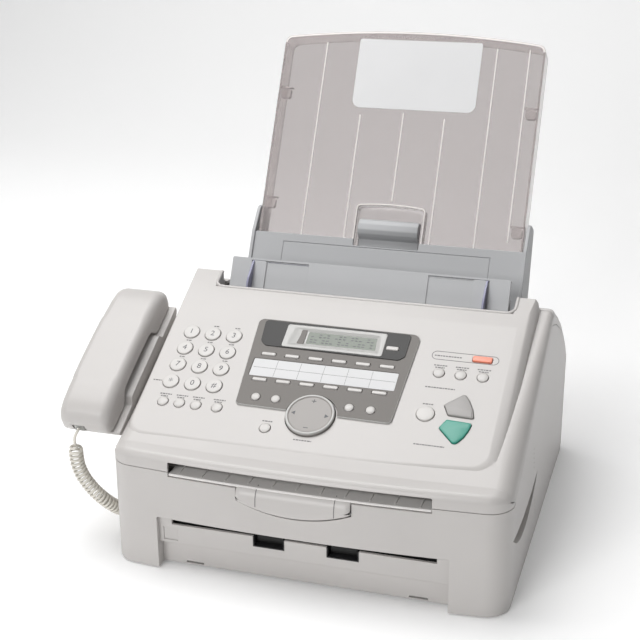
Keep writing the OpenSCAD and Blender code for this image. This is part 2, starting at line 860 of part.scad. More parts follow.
module panel_bezel() {
    color([0.66, 0.64, 0.61]) on_panel() difference() {
        linear_extrude(bezel_t) bezel_outline();
        round_hole(nav_at, nav_r + 1.6);
        bezel_holes();
        // seat of the display
        translate([-24, 113.5, -1]) cube([56, 24, 6]);
        // bed of the name card
        translate([-76, 76, bezel_t - 0.5]) cube([133, 20.6, 3]);
    }
}

module display_frame() {
    color([0.35, 0.35, 0.35]) on_panel(0, 0, bezel_t) difference() {
        linear_extrude(display_t)
            polygon([[-78.3, 141.6], [58.6, 140.8], [58.1, 115], [53, 110.4], [-70.6, 111.6], [-76, 116.6]]);
        translate([-24, 113.5, -1]) cube([56, 24, 6]);
        translate([display_key_at[0], display_key_at[1], 0]) slab_hole(11, 4, 0.4);
    }
}

module lcd_window() {
    color([0.60, 0.63, 0.60]) on_panel() translate([-23.7, 113.8, 0]) cube([55.4, 23.4, 1.9]);
}

module panel_board() {
    color(c_board) on_panel() {
        // its face lies below the keys' feet, which come down by their travel
        board_h = -key_h - key_travel - 2.2;
        translate([-158, 16, board_h - 1.6]) cube([300, 128, 1.6]);
        translate([-60, 108, board_h]) cube([96, 26, 2]);
    }
}

module image_sensor() {
    color(c_dark) on_panel(0, 60, -29) difference() {
        translate([-112, 0, 0]) cube([224, 16, 12]);
        translate([-108, 6, -1]) cube([216, 4, 3]);
    }
}

// ---------- keys ----------

module round_key(p, r) {
    color(c_key) on_panel(p[0], p[1], 0) {
        translate([0, 0, -key_h]) cylinder(h = key_h + 1, r = r);
        translate([0, 0, 0.9]) cylinder(h = 0.7, r1 = r, r2 = r - 0.7);
    }
}

module slab_key(p, w, d, top, tint = c_key) {
    color(tint) on_panel(p[0], p[1], 0) translate([-w / 2, -d / 2, -key_h]) cube([w, d, key_h + top]);
}

module key_1() { round_key(dial_keys[9], dial_key_r); }
module key_2() { round_key(dial_keys[10], dial_key_r); }
module key_3() { round_key(dial_keys[11], dial_key_r); }
module key_4() { round_key(dial_keys[6], dial_key_r); }
module key_5() { round_key(dial_keys[7], dial_key_r); }
module key_6() { round_key(dial_keys[8], dial_key_r); }
module key_7() { round_key(dial_keys[3], dial_key_r); }
module key_8() { round_key(dial_keys[4], dial_key_r); }
module key_9() { round_key(dial_keys[5], dial_key_r); }
module key_star() { round_key(dial_keys[0], dial_key_r); }
module key_0() { round_key(dial_keys[1], dial_key_r); }
module key_hash() { round_key(dial_keys[2], dial_key_r); }
module stop_key() { round_key(stop_at, stop_r); }

module navigator_key() {
    color([0.80, 0.79, 0.77]) on_panel(nav_at[0], nav_at[1], 0) {
        translate([0, 0, -key_h]) cylinder(h = key_h + 2.6, r = nav_r);
        translate([0, 0, 2.5]) cylinder(h = 1.1, r1 = nav_r, r2 = nav_r - 1.4);
    }
}

module copy_start_key() {
    color([0.72, 0.71, 0.70]) on_panel(0, 0, -key_h) linear_extrude(key_h + 2) copy_outline();
}

module fax_start_key() {
    color([0.22, 0.58, 0.50]) on_panel(0, 0, -key_h) linear_extrude(key_h + 2) fax_outline();
}

module auto_answer_key() {
    slab_key(answer_at, 17, 6, 1.6, [0.93, 0.60, 0.52]);
}

module round_keys() {
    for (p = concat(function_keys, mode_keys, [menu_at])) round_key(p, small_key_r);
}

module station_keys() {
    for (x = station_x, v = station_v) slab_key([x, v], 13, 3.2, bezel_t + 1);
}

module bezel_keys() {
    for (p = bezel_round_keys) color(c_key) on_panel(p[0], p[1], -key_h)
        cylinder(h = key_h + bezel_t + 1.2, r = 4);
    slab_key(display_key_at, 11, 4, bezel_t + display_t + 1);
}

// ---------- handset and cord ----------

module handset_side() {
    polygon([
        [-1, cup_h], [-2, 0], [0, 9], [5, 15], [14, 18.5], [40, 20.6], [80, crown_h], [120, 20.2], [144, 17.6],
        [154, 13.5], [159.5, 7], [161, 0], [158.5, cup_h], [120, cup_h], [116.6, -3], [112, 2.6], [104, 4],
        [48, 4], [40, 2.6], [35.4, -3], [32, cup_h]
    ]);
}

module handset_section() {
    r = 9;
    translate([0, -20]) square([handset_w, 20 + crown_h - r]);
    translate([r, crown_h - r - 1]) square([handset_w - 2 * r, r + 1]);
    for (x = [r, handset_w - r]) translate([x, crown_h - r]) circle(r);
}

module handset_solid() {
    on_panel(handset_left, 0, 0) intersection() {
        along_x(0, handset_w) handset_side();
        translate([0, -10, 0]) rotate([-90, 0, 0]) mirror([0, 1, 0]) linear_extrude(190) handset_section();
    }
}

module handset_top() {
    color(c_case) difference() {
        handset_solid();
        on_panel(handset_left - 5, -20, -40) cube([handset_w + 10, 220, 40 + parting_h]);
        on_panel(handset_left + 3, 12, parting_h - 1) cube([handset_w - 6, 134, 7]);
    }
}

module handset_base() {
    color(c_case) difference() {
        handset_solid();
        on_panel(handset_left - 5, -20, parting_h) cube([handset_w + 10, 220, 40]);
        // socket for the cord's plug in the near end
        on_panel(handset_left + handset_w / 2 - 10.8, -6, -6.2) cube([10.6, 16, 8.4]);
        // sound holes of the ear and mouth cups
        for (v = [16, 139], i = [-2 : 2])
            on_panel(handset_left + handset_w / 2 + 5 * i, v, -12) cylinder(h = 8, r = 1.1);
        // hollow inside
        on_panel(handset_left + 3, 14, 5) cube([handset_w - 6, 132, 3]);
    }
}

module handset_plug() {
    color([0.9, 0.9, 0.88]) on_panel(handset_left + handset_w / 2 - 10.4, -1.6, -5.8) difference() {
        cube([9.8, 11.4, 7.6]);
        translate([2, -1, 5.6]) cube([5.8, 8, 3]);
    }
}

module jack_plug() {
    color([0.9, 0.9, 0.88]) in_casing() difference() {
        translate([-half_w - 10, jack_y - 3.4, jack_z - 3.2]) cube([17.6, 6.8, 6.4]);
        translate([-half_w - 11, jack_y - 2.2, jack_z + 1.6]) cube([8, 4.4, 3]);
    }
}

// Tube of diameter d swept along a list of points
function unit(v) = v / norm(v);
function side_of(t) = unit(cross(t, [0.3, 0.8, 0.1]));
function heading(p, i) = unit(p[min(i + 1, len(p) - 1)] - p[max(i - 1, 0)]);
function ring(c, t, r, sides) = [for (k = [0 : sides - 1])
    c + r * cos(360 * k / sides) * side_of(t) + r * sin(360 * k / sides) * cross(t, side_of(t))];

module tube(points, d, sides) {
    n = len(points);
    verts = [for (i = [0 : n - 1]) each ring(points[i], heading(points, i), d / 2, sides)];
    walls = [for (i = [0 : n - 2], k = [0 : sides - 1])
        [i * sides + k, i * sides + (k + 1) % sides, (i + 1) * sides + (k + 1) % sides, (i + 1) * sides + k]];
    ends = [[for (k = [sides - 1 : -1 : 0]) k], [for (k = [0 : sides - 1]) (n - 1) * sides + k]];
    in_casing() polyhedron(points = verts, faces = concat(walls, ends));
}

module cord_coil() {
    color([0.88, 0.86, 0.80]) tube(coil_route, coil_d, 12);
}

module cord_leads() {
    color([0.88, 0.86, 0.80]) {
        tube(lead_route, cord_d, 8);
        tube(tail_route, cord_d, 8);
    }
}

base_plate();
lower_cabinet();
rear_cover();
rubber_feet();
case_screws();
handset_cradle();
document_table();
paper_tray_base();
main_board();
power_supply();
laser_unit();
toner_unit();
fuser_unit();
speaker();
ac_inlet();
modular_jacks();
hinge_brackets();
exit_panel();
cord_coil();
cord_leads();
jack_plug();
paper_tray();
tension_plate();
left_guide();
right_guide();
guide_pinion();
exit_rollers();
pickup_roller();
feed_roller();
hook_switch();
front_cover();
document_guide();
panel_bezel();
display_frame();
lcd_window();
panel_board();
image_sensor();
handset_top();
handset_base();
handset_plug();
key_1();
key_2();
key_3();
key_4();
key_5();
key_6();
key_7();
key_8();
key_9();
key_star();
key_0();
key_hash();
navigator_key();
stop_key();
copy_start_key();
fax_start_key();
auto_answer_key();
round_keys();
station_keys();
bezel_keys();
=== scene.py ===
"""Looks of the fax machine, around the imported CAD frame. Lengths are millimetres in the casing's
own frame (x from its middle, y back from its front corners, z from the floor) until place() or one
of the plane functions turns them into the row frame's metres."""
import json
from math import acos, copysign, cos, pi, radians, sin, sqrt, tan

import bmesh
import bpy
from mathutils import Matrix, Vector


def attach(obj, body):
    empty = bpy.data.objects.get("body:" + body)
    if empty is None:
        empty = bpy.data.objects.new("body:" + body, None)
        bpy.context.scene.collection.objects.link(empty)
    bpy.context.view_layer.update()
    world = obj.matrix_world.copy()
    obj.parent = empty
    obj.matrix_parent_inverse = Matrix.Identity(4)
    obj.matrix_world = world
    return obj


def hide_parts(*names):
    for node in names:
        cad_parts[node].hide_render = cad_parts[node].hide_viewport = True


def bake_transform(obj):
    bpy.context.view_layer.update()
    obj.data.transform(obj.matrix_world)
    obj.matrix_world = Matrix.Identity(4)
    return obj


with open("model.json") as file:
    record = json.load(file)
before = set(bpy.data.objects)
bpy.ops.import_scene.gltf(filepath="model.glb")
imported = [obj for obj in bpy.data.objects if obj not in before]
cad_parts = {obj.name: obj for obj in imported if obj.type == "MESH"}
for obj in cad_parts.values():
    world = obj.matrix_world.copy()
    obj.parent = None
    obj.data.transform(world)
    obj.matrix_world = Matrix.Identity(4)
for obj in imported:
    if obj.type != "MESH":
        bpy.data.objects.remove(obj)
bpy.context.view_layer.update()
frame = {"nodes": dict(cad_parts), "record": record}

CASING_X, CASING_Y = 27.0, -195.8344
TILT = radians(27.7)
LEAN = radians(28.7)
HALF_W = 175.0
WALL = 2.8


def place(x, y, z):
    return Vector(((x + CASING_X) / 1000, (y + CASING_Y) / 1000, z / 1000))


def panel(x, v, h):
    """Key panel: x across, v up the slope, h out of it."""
    return place(x, 20.2 + v * cos(TILT) - h * sin(TILT), 116.7 + v * sin(TILT) + h * cos(TILT))


def leaning(y0, z0):
    def at(x, s, n):
        return place(x, y0 + s * sin(LEAN) - n * cos(LEAN), z0 + s * cos(LEAN) + n * sin(LEAN))
    return at


tray = leaning(262, 200)
table = leaning(195, 190)


def facing(x, z, y):
    """Front face: x across, z up, y back."""
    return place(x, y, z)


def sideways(y, z, x):
    """Side view: y back, z up, x across."""
    return place(x, y, z)


def from_above(x, y, z):
    return place(x, y, z)


# ---------- camera ----------

def make_camera():
    azimuth, elevation, roll = (radians(a) for a in (17.2685, 20.4352, -0.459))
    back = Vector((sin(azimuth) * cos(elevation), -cos(azimuth) * cos(elevation), sin(elevation)))
    right = Vector((0, 0, 1)).cross(back).normalized()
    up = back.cross(right)
    right, up = cos(roll) * right + sin(roll) * up, -sin(roll) * right + cos(roll) * up
    target, distance = place(-90.23, 348.2, 110), 1.42917
    data = bpy.data.cameras.new("camera")
    data.lens = 74.715
    data.sensor_width = 36
    data.clip_start, data.clip_end = 0.05, 20
    camera = bpy.data.objects.new("camera", data)
    bpy.context.scene.collection.objects.link(camera)
    turn = Matrix((right, up, back)).transposed().to_4x4()
    camera.matrix_world = Matrix.Translation(target + back * distance) @ turn
    bpy.context.scene.camera = camera


make_camera()


# ---------- materials ----------

def node_set(name):
    material = bpy.data.materials.new(name)
    material.use_nodes = True
    nodes, links = material.node_tree.nodes, material.node_tree.links
    shader = nodes["Principled BSDF"]
    return material, nodes, links, shader


def plastic(name, rgb, rough=0.45, grain=900, bump=0.06, vary=0.03, edge=0.0006, coat=0.0, metallic=0.0,
    spec=0.5):
    """Moulded plastic: fine grain in the bump, slow changes of colour and gloss, softened edges."""
    material, nodes, links, shader = node_set(name)
    where = nodes.new("ShaderNodeTexCoord")
    slow = nodes.new("ShaderNodeTexNoise")
    slow.inputs["Scale"].default_value = 14
    slow.inputs["Detail"].default_value = 3
    fine = nodes.new("ShaderNodeTexNoise")
    fine.inputs["Scale"].default_value = grain
    fine.inputs["Detail"].default_value = 2
    links.new(where.outputs["Object"], slow.inputs["Vector"])
    links.new(where.outputs["Object"], fine.inputs["Vector"])
    ramp = nodes.new("ShaderNodeValToRGB")
    ramp.color_ramp.elements[0].position = 0.3
    ramp.color_ramp.elements[1].position = 0.7
    ramp.color_ramp.elements[0].color = [c * (1 - vary) for c in rgb] + [1]
    ramp.color_ramp.elements[1].color = [min(1, c * (1 + vary * 0.5)) for c in rgb] + [1]
    links.new(slow.outputs["Fac"], ramp.inputs["Fac"])
    links.new(ramp.outputs["Color"], shader.inputs["Base Color"])
    gloss = nodes.new("ShaderNodeMapRange")
    gloss.inputs["To Min"].default_value = rough - 0.05
    gloss.inputs["To Max"].default_value = rough + 0.05
    links.new(slow.outputs["Fac"], gloss.inputs["Value"])
    links.new(gloss.outputs["Result"], shader.inputs["Roughness"])
    soft = nodes.new("ShaderNodeBevel")
    soft.samples = 4
    soft.inputs["Radius"].default_value = edge
    relief = nodes.new("ShaderNodeBump")
    relief.inputs["Strength"].default_value = bump
    relief.inputs["Distance"].default_value = 0.0002
    links.new(fine.outputs["Fac"], relief.inputs["Height"])
    links.new(soft.outputs["Normal"], relief.inputs["Normal"])
    links.new(relief.outputs["Normal"], shader.inputs["Normal"])
    shader.inputs["Coat Weight"].default_value = coat
    shader.inputs["Coat Roughness"].default_value = 0.15
    shader.inputs["Metallic"].default_value = metallic
    shader.inputs["Specular IOR Level"].default_value = spec
    return material


def see_through(name, rgb, rough, transmission, alpha=1.0, ior=1.45):
    """Tinted clear plastic with faint flow marks."""
    material, nodes, links, shader = node_set(name)
    where = nodes.new("ShaderNodeTexCoord")
    flow = nodes.new("ShaderNodeTexNoise")
    flow.inputs["Scale"].default_value = 9
    flow.inputs["Distortion"].default_value = 0.6
    links.new(where.outputs["Object"], flow.inputs["Vector"])
    tint = nodes.new("ShaderNodeValToRGB")
    tint.color_ramp.elements[0].color = [c * 0.985 for c in rgb] + [1]
    tint.color_ramp.elements[1].color = list(rgb) + [1]
    links.new(flow.outputs["Fac"], tint.inputs["Fac"])
    links.new(tint.outputs["Color"], shader.inputs["Base Color"])
    shader.inputs["Roughness"].default_value = rough
    shader.inputs["Transmission Weight"].default_value = transmission
    shader.inputs["Alpha"].default_value = alpha
    shader.inputs["IOR"].default_value = ior
    return material


M = {
    "case": plastic("case_plastic", (0.575, 0.553, 0.537), 0.42, coat=0.10),
    "key": plastic("key_plastic", (0.60, 0.58, 0.56), 0.36, coat=0.15, edge=0.0003),
    "grey": plastic("grey_plastic", (0.485, 0.49, 0.50), 0.55, grain=1400, bump=0.12),
    "dark": plastic("dark_plastic", (0.018, 0.018, 0.02), 0.5, grain=1200, bump=0.1),
    "steel": plastic("plated_steel", (0.55, 0.56, 0.57), 0.32, grain=300, bump=0.05, metallic=1.0),
    "board": plastic("circuit_board", (0.02, 0.12, 0.05), 0.35, grain=240, bump=0.3, vary=0.25, coat=0.3),
    "guide": plastic("guide_plastic", (0.29, 0.29, 0.41), 0.42, edge=0.0003, coat=0.1),
    "smoke": see_through("smoked_plastic", (0.63, 0.59, 0.585), 0.12, 0.85),
    "smoke_rim": see_through("smoked_edge", (0.97, 0.93, 0.92), 0.15, 0.92),
    # slot floor plastic, much lighter than the case plastic: painted light for the slot floor, which lies
    # in shade under the overhang
    "shelf": plastic("slot_plastic_painted_light", (0.86, 0.84, 0.82), 0.5, bump=0.03, edge=0.0002),
    # pale plastic of the tray's ribs, also used as painted highlight along the tray's face edge and window
    "rib": plastic("frosted_rib_and_edge_highlight", (0.92, 0.87, 0.85), 0.4, bump=0.02, edge=0.0002),
    "bezel": plastic("bezel_paint", (0.180, 0.167, 0.155), 0.5, grain=2600, bump=0.12, coat=0.02,
    edge=0.0004, spec=0.35),
    "display": plastic("display_plastic", (0.020, 0.019, 0.018), 0.4, bump=0.02, coat=0.05, edge=0.0003,
    spec=0.3),
    "lcd": plastic("lcd_glass", (0.19, 0.215, 0.18), 0.2, bump=0.0, coat=0.1, edge=0.0002, spec=0.3),
    "rubber": plastic("rubber", (0.012, 0.012, 0.012), 0.7, grain=1500, bump=0.2),
    "cord": plastic("cord_vinyl", (0.78, 0.75, 0.68), 0.38, bump=0.02, edge=0.0002, coat=0.15),
    "plug": see_through("clear_plastic", (0.93, 0.93, 0.90), 0.08, 0.7),
    "nav": plastic("navigator_plastic", (0.30, 0.28, 0.265), 0.38, coat=0.15, edge=0.0004),
    "copy": plastic("copy_key_plastic", (0.33, 0.315, 0.305), 0.38, coat=0.15, edge=0.0004),
    "fax": plastic("fax_key_plastic", (0.035, 0.30, 0.225), 0.36, coat=0.2, edge=0.0004),
    "answer": plastic("answer_key_plastic", (0.88, 0.27, 0.17), 0.34, coat=0.2, edge=0.0003),
    "ink": plastic("printed_ink", (0.10, 0.10, 0.11), 0.5, bump=0.0, edge=0.0001),
    "pale_ink": plastic("pale_ink", (0.17, 0.165, 0.165), 0.5, bump=0.0, edge=0.0001),
    "paper": plastic("card_paper", (0.74, 0.74, 0.745), 0.8, grain=1600, bump=0.1, edge=0.0002),
    # pale plastic of the display's light frame, also used as painted highlight on the bezel's and
    # navigator's rims
    "frame": plastic("light_frame_and_rim_highlight", (0.48, 0.475, 0.46), 0.35, coat=0.2, edge=0.0003),
}


# ---------- mesh helpers ----------

def add(name, data, body, material):
    piece = bpy.data.objects.new(name, data)
    bpy.context.scene.collection.objects.link(piece)
    if material:
        data.materials.append(M[material])
    if body:
        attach(piece, body)
    return piece


def label_as(piece, slot, *nodes):
    """Hides the CAD nodes that the piece stands for. The slot argument is not used."""
    if nodes:
        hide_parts(*nodes)
    return piece


def finish_mesh(data, angle=32):
    bm = bmesh.new()
    bm.from_mesh(data)
    bmesh.ops.remove_doubles(bm, verts=bm.verts, dist=1e-6)
    bmesh.ops.recalc_face_normals(bm, faces=bm.faces)
    bm.to_mesh(data)
    bm.free()
    data.shade_smooth()
    data.set_sharp_from_angle(angle=radians(angle))


def mesh(name, verts, faces, body=None, material=None, angle=32):
    data = bpy.data.meshes.new(name)
    data.from_pydata([tuple(v) for v in verts], [], faces)
    finish_mesh(data, angle)
    return add(name, data, body, material)


def loft(name, rings, body=None, material=None, closed=True, caps=True, angle=32):
    """Skin over rings that all have the same number of points."""
    n = len(rings[0])
    verts = [p for ring in rings for p in ring]
    faces = []
    for i in range(len(rings) - 1):
        for k in range(n if closed else n - 1):
            a, b = i * n + k, i * n + (k + 1) % n
            faces.append((a, b, b + n, a + n))
    if caps:
        faces.append(tuple(range(n - 1, -1, -1)))
        faces.append(tuple(range((len(rings) - 1) * n, len(rings) * n)))
    return mesh(name, verts, faces, body, material, angle)


def rounded(points, radius, steps=5):
    """Outline with each corner turned into an arc. radius is one number or one for each corner."""
    out = []
    n = len(points)
    for i in range(n):
        r = radius[i] if isinstance(radius, (list, tuple)) else radius
        p, a, b = Vector(points[i]), Vector(points[i - 1]), Vector(points[(i + 1) % n])
        if r <= 0:
            out.append(p)
            continue
        u, w = (a - p).normalized(), (b - p).normalized()
        half = acos(max(-1, min(1, u.dot(w)))) / 2
        if half > 1.55:
            out.append(p)
            continue
        cut = min(r / tan(half), 0.49 * (a - p).length, 0.49 * (b - p).length)
        real = cut * tan(half)
        centre = p + (u + w).normalized() * (real / sin(half))
        start, end = p + u * cut - centre, p + w * cut - centre
        for k in range(steps + 1):
            t = k / steps
            d = start.lerp(end, t)
            out.append(centre + d.normalized() * real)
    return out


def prism(name, outline, low, high, plane, body=None, material=None, bevel=0.0, steps=3):
    """Solid on an outline in one of the planes, from low to high, with its edges rounded."""
    n = len(outline)
    verts = [plane(p[0], p[1], low) for p in outline] + [plane(p[0], p[1], high) for p in outline]
    faces = [tuple(range(n - 1, -1, -1)), tuple(range(n, 2 * n))]
    faces += [(k, (k + 1) % n, (k + 1) % n + n, k + n) for k in range(n)]
    piece = mesh(name, verts, faces, body, material)
    if bevel:
        soften(piece, bevel, steps)
    return piece


def soften(piece, width, steps=3):
    edge = piece.modifiers.new("edges", "BEVEL")
    edge.width = width / 1000
    edge.segments = steps
    edge.limit_method = "ANGLE"
    edge.angle_limit = radians(38)
    edge.harden_normals = True


def flatten(piece):
    """Keeps broad flat faces flat in the shading, with the turn left to the small faces beside them."""
    weight = piece.modifiers.new("normals", "WEIGHTED_NORMAL")
    weight.mode = "FACE_AREA"
    weight.weight = 100
    weight.keep_sharp = True


def rect(x0, y0, x1, y1):
    return [(x0, y0), (x1, y0), (x1, y1), (x0, y1)]


def circle(x, y, r, n=40):
    return [(x + r * cos(2 * pi * k / n), y + r * sin(2 * pi * k / n)) for k in range(n)]


def joined(name, pieces, body=None, material=None):
    """One object from several meshes, which are taken away."""
    data = bpy.data.meshes.new(name)
    bm = bmesh.new()
    for p in pieces:
        bm.from_mesh(p.data)
        bpy.data.objects.remove(p)
    bm.to_mesh(data)
    bm.free()
    data.shade_smooth()
    data.set_sharp_from_angle(angle=radians(32))
    return add(name, data, body, material)


def boolean(piece, other, operation="DIFFERENCE", solver="MANIFOLD", keep=False):
    step = piece.modifiers.new("boolean", "BOOLEAN")
    step.object = other
    step.operation = operation
    step.solver = solver
    evaluated = piece.evaluated_get(bpy.context.evaluated_depsgraph_get())
    data = bpy.data.meshes.new_from_object(evaluated)
    piece.modifiers.clear()
    old = piece.data
    piece.data = data
    data.name = piece.name
    bpy.data.meshes.remove(old)
    if not keep:
        bpy.data.objects.remove(other)
    return piece


def carve(piece, outline, low, high, plane):
    """Cuts a straight prism out of the piece."""
    return boolean(piece, prism("cut", outline, low, high, plane))


def copy_of(piece, name):
    twin = piece.copy()
    twin.data = piece.data.copy()
    twin.name = name
    bpy.context.scene.collection.objects.link(twin)
    return twin


def dress(piece, body, material, angle=30):
    """Finishes a boolean result: material, shading and body."""
    piece.data.materials.clear()
    piece.data.materials.append(M[material])
    bm = bmesh.new()
    bm.from_mesh(piece.data)
    bmesh.ops.remove_doubles(bm, verts=bm.verts, dist=2e-6)
    bmesh.ops.dissolve_degenerate(bm, dist=1e-6, edges=bm.edges)
    bm.to_mesh(piece.data)
    bm.free()
    piece.data.shade_smooth()
    piece.data.set_sharp_from_angle(angle=radians(angle))
    flatten(piece)
    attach(piece, body)
    return piece


# ---------- cord ----------

def smooth_route(points, steps):
    """Catmull-Rom curve through the points."""
    p = [Vector(q) for q in points]
    p = [2 * p[0] - p[1]] + p + [2 * p[-1] - p[-2]]
    out = []
    for i in range(1, len(p) - 2):
        a, b, c, d = p[i - 1:i + 3]
        for k in range(steps):
            t = k / steps
            out.append(0.5 * (2 * b + (c - a) * t + (2 * a - 5 * b + 4 * c - d) * t ** 2
                + (3 * b - a - 3 * c + d) * t ** 3))
    out.append(p[-2])
    return out


def evenly(points, step):
    """The same line with points at equal steps along it."""
    out, left = [points[0]], step
    for a, b in zip(points, points[1:]):
        length = (b - a).length
        while left < length:
            a = a.lerp(b, left / length)
            length -= left
            out.append(a)
            left = step
        left -= length
    out.append(points[-1])
    return out


def carried_frames(points):
    """Tangent and two normals at each point, with no twist along the line."""
    frames = []
    normal = None
    for i, p in enumerate(points):
        tangent = (points[min(i + 1, len(points) - 1)] - points[max(i - 1, 0)]).normalized()
        if normal is None:
            normal = tangent.cross(Vector((0.3, 0.8, 0.1))).normalized()
        normal = (normal - tangent * normal.dot(tangent)).normalized()
        frames.append((tangent, normal, tangent.cross(normal)))
    return frames


LEAD_ROUTE = [(-210.5, 19.2, 114), (-211.3, 16.6, 111.5), (-213, 15.6, 107.5), (-214.3, 16.4, 102),
    (-214.5, 18, 97)]
COIL_ROUTE = [
    (-214.5, 18, 97), (-215, 19, 88), (-214.5, 20, 78), (-212, 22, 67), (-208, 25, 57),
    (-203, 29, 47), (-197.5, 35, 37), (-193.5, 43, 28), (-191.5, 53, 20), (-190.5, 65, 13.5),
    (-190, 79, 10), (-190, 95, 9), (-190, 112, 9), (-190, 129, 9.5), (-190, 145, 12),
    (-190, 159, 16), (-190, 171, 21)
]
TAIL_ROUTE = [
    (-190, 171, 21), (-190, 176, 23.5), (-190.5, 181, 25.5), (-191.5, 186, 27), (-192, 191, 27.8),
    (-191, 195.5, 28), (-188.5, 198.5, 28), (-185, 200, 28)
]
WIRE_D = 2.6
COIL_R = 5.35
PITCH = 3.9
TURN_POINTS = 14


def cord_path():
    """Centre line of the cord from the jack to the handset: tail, helix, lead."""
    axis = evenly(smooth_route(COIL_ROUTE[::-1], 12), PITCH / TURN_POINTS)
    frames = carried_frames(axis)
    helix = []
    for i, (p, (tangent, side, up)) in enumerate(zip(axis, frames)):
        angle = 2 * pi * i / TURN_POINTS
        grow = min(1, (i + 1) / TURN_POINTS, (len(axis) - i) / TURN_POINTS)
        radius = COIL_R * sin(grow * pi / 2)
        helix.append(p + radius * (cos(angle) * side + sin(angle) * up))
    tail = evenly(smooth_route(TAIL_ROUTE[::-1], 8), 1.2)
    lead = evenly(smooth_route(LEAD_ROUTE[::-1], 8), 1.2)
    return tail[:-2] + helix + lead[2:]


def tube(name, path, diameter, sides, body, material):
    rings = []
    for p, (tangent, side, up) in zip(path, carried_frames(path)):
        rings.append([p + diameter / 2 * (cos(2 * pi * k / sides) * side + sin(2 * pi * k / sides) * up)
                      for k in range(sides)])
    return loft(name, [[place(*q) for q in ring] for ring in rings], body, material, angle=60)


def make_cord():
    path = cord_path()
    line = [place(*p) for p in path]
    length = sum((b - a).length for a, b in zip(line, line[1:]))
    cord = label_as(tube("curly_cord", path, WIRE_D, 8, None, "cord"), "cord", "cord_coil", "cord_leads")
    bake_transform(cord)
    return length


CORD_LENGTH = make_cord()


# ---------- casing ----------

def bow(x):
    return -8.5 * (1 - (x / HALF_W) ** 2)


FRONT_R = 20
SIDE = [
    # y, z, corner radius in side view, corner radius across the width
    (0, 1.5, 0, 20), (0, 109.0, 8, 20), (13, 112.6, 12, 15), (206, 196.5, 10, 6), (219, 194, 8, 6),
    (232, 188.5, 10, 10), (256, 178, 16, 11), (282, 163.5, 20, 12), (308, 143.5, 20, 12),
    (330, 124, 12, 12), (344, 107, 5, 12), (344, 1.5, 0, 12)
]


def side_profile():
    """Open side outline, with its inward normals and the width-wise radius at each point."""
    arcs = rounded([(p[0], p[1]) for p in SIDE], [p[2] for p in SIDE], 6)
    marks = [(Vector(p[:2]), p[3]) for p in SIDE]
    line = []
    for a, b in zip(arcs, arcs[1:]):
        pieces = max(1, int((b - a).length / 9))
        line += [a.lerp(b, k / pieces) for k in range(pieces)]
    line.append(arcs[-1])
    radii = []
    for p in line:
        weights = [(1 / ((p - m).length + 3) ** 2, r) for m, r in marks]
        radii.append(sum(w * r for w, r in weights) / sum(w for w, r in weights))
    front = [i for i, p in enumerate(line) if p.y < 100 and p.x < 1]
    for i in front:
        radii[i] = FRONT_R
    normals = []
    for i in range(len(line)):
        t = (line[min(i + 1, len(line) - 1)] - line[max(i - 1, 0)]).normalized()
        normals.append(Vector((t.y, -t.x)))
    for _ in range(3):
        radii = [radii[0]] + [(radii[i - 1] + 2 * radii[i] + radii[i + 1]) / 4
            for i in range(1, len(radii) - 1)] + [radii[-1]]
    return line, normals, radii


def casing(name, inset=0.0, arc=7, across=26, floor=None):
    """The whole casing as one rounded solid, moved in by inset."""
    line, normals, radii = side_profile()
    columns = []
    shares = [("left", k / arc) for k in range(arc)] + [("mid", m / across) for m in range(across + 1)]
    shares += [("right", k / arc) for k in range(arc - 1, -1, -1)]
    for part, t in shares:
        ring = []
        for p, n, r in zip(line, normals, radii):
            half = HALF_W - inset
            inner_r = r - inset
            if part == "mid":
                x = (2 * t - 1) * (half - inner_r)
                depth = inset
            else:
                angle = t * pi / 2
                x = (half - inner_r * (1 - cos(angle))) * (-1 if part == "left" else 1)
                depth = inset + inner_r * (1 - sin(angle))
            q = p + n * depth
            # the front's and the slope's rounded edges meet here, and neither may pass the other
            turn = (depth - inset) / max(0.1, r - inset)
            q.x = max(q.x, inset + (FRONT_R - inset) * turn)
            slope_depth = inset + (15 - inset) * turn
            if q.x < FRONT_R + 2:
                q.y = min(q.y, 109 + 0.277 * q.x + 0.158 * max(0, q.x - 13) - slope_depth * 1.09)
            share = max(0.0, min(1.0, (26 - q.x) / 20))
            z = q.y
            if floor is not None and z < 3:
                z = floor
            elif z < 1.5:
                z = 1.5
            ring.append(place(x, q.x + bow(x) * share, z))
        columns.append(ring)
    return columns


def casing_mesh(name, inset=0.0, floor=None):
    columns = casing(name, inset, floor=floor)
    n = len(columns[0])
    verts = [p for ring in columns for p in ring]
    faces = []
    for i in range(len(columns) - 1):
        for k in range(n - 1):
            a = i * n + k
            faces.append((a, a + 1, a + n + 1, a + n))
    last = (len(columns) - 1) * n
    faces.append(tuple(range(n - 1, -1, -1)))
    faces.append(tuple(range(last, last + n)))
    faces.append(tuple(i * n for i in range(len(columns)))
        + tuple(i * n + n - 1 for i in range(len(columns) - 1, -1, -1)))
    return mesh(name, verts, faces)


PANEL_X0, PANEL_X1 = -167.0, 156.0
PLATEAU_RINGS = [
    # height, growth at the front, at the left, at the right
    (0, -3.4, -2.4, -8), (-0.15, -2.2, -1.5, -6.9), (-0.55, -0.9, -0.7, -5.2), (-1.2, 0.5, -0.1, -3.2),
    (-2.2, 2.3, 0.5, -0.9), (-3.6, 4.6, 1.2, 1.2), (-5.4, 7.2, 2.1, 3.0), (-8, 9.8, 3.5, 5), (-24, 18, 7, 9)
]


def front_reach(x):
    """How far the panel's front edge comes forward of its right corner."""
    return 8.5 * sin(pi / 2 * min(1.0, max(0.0, (PANEL_X1 - x) / 135)))


def crown_drop(v):
    """How far the top of the slope bends down."""
    return 0.12 * max(0.0, v - 163)


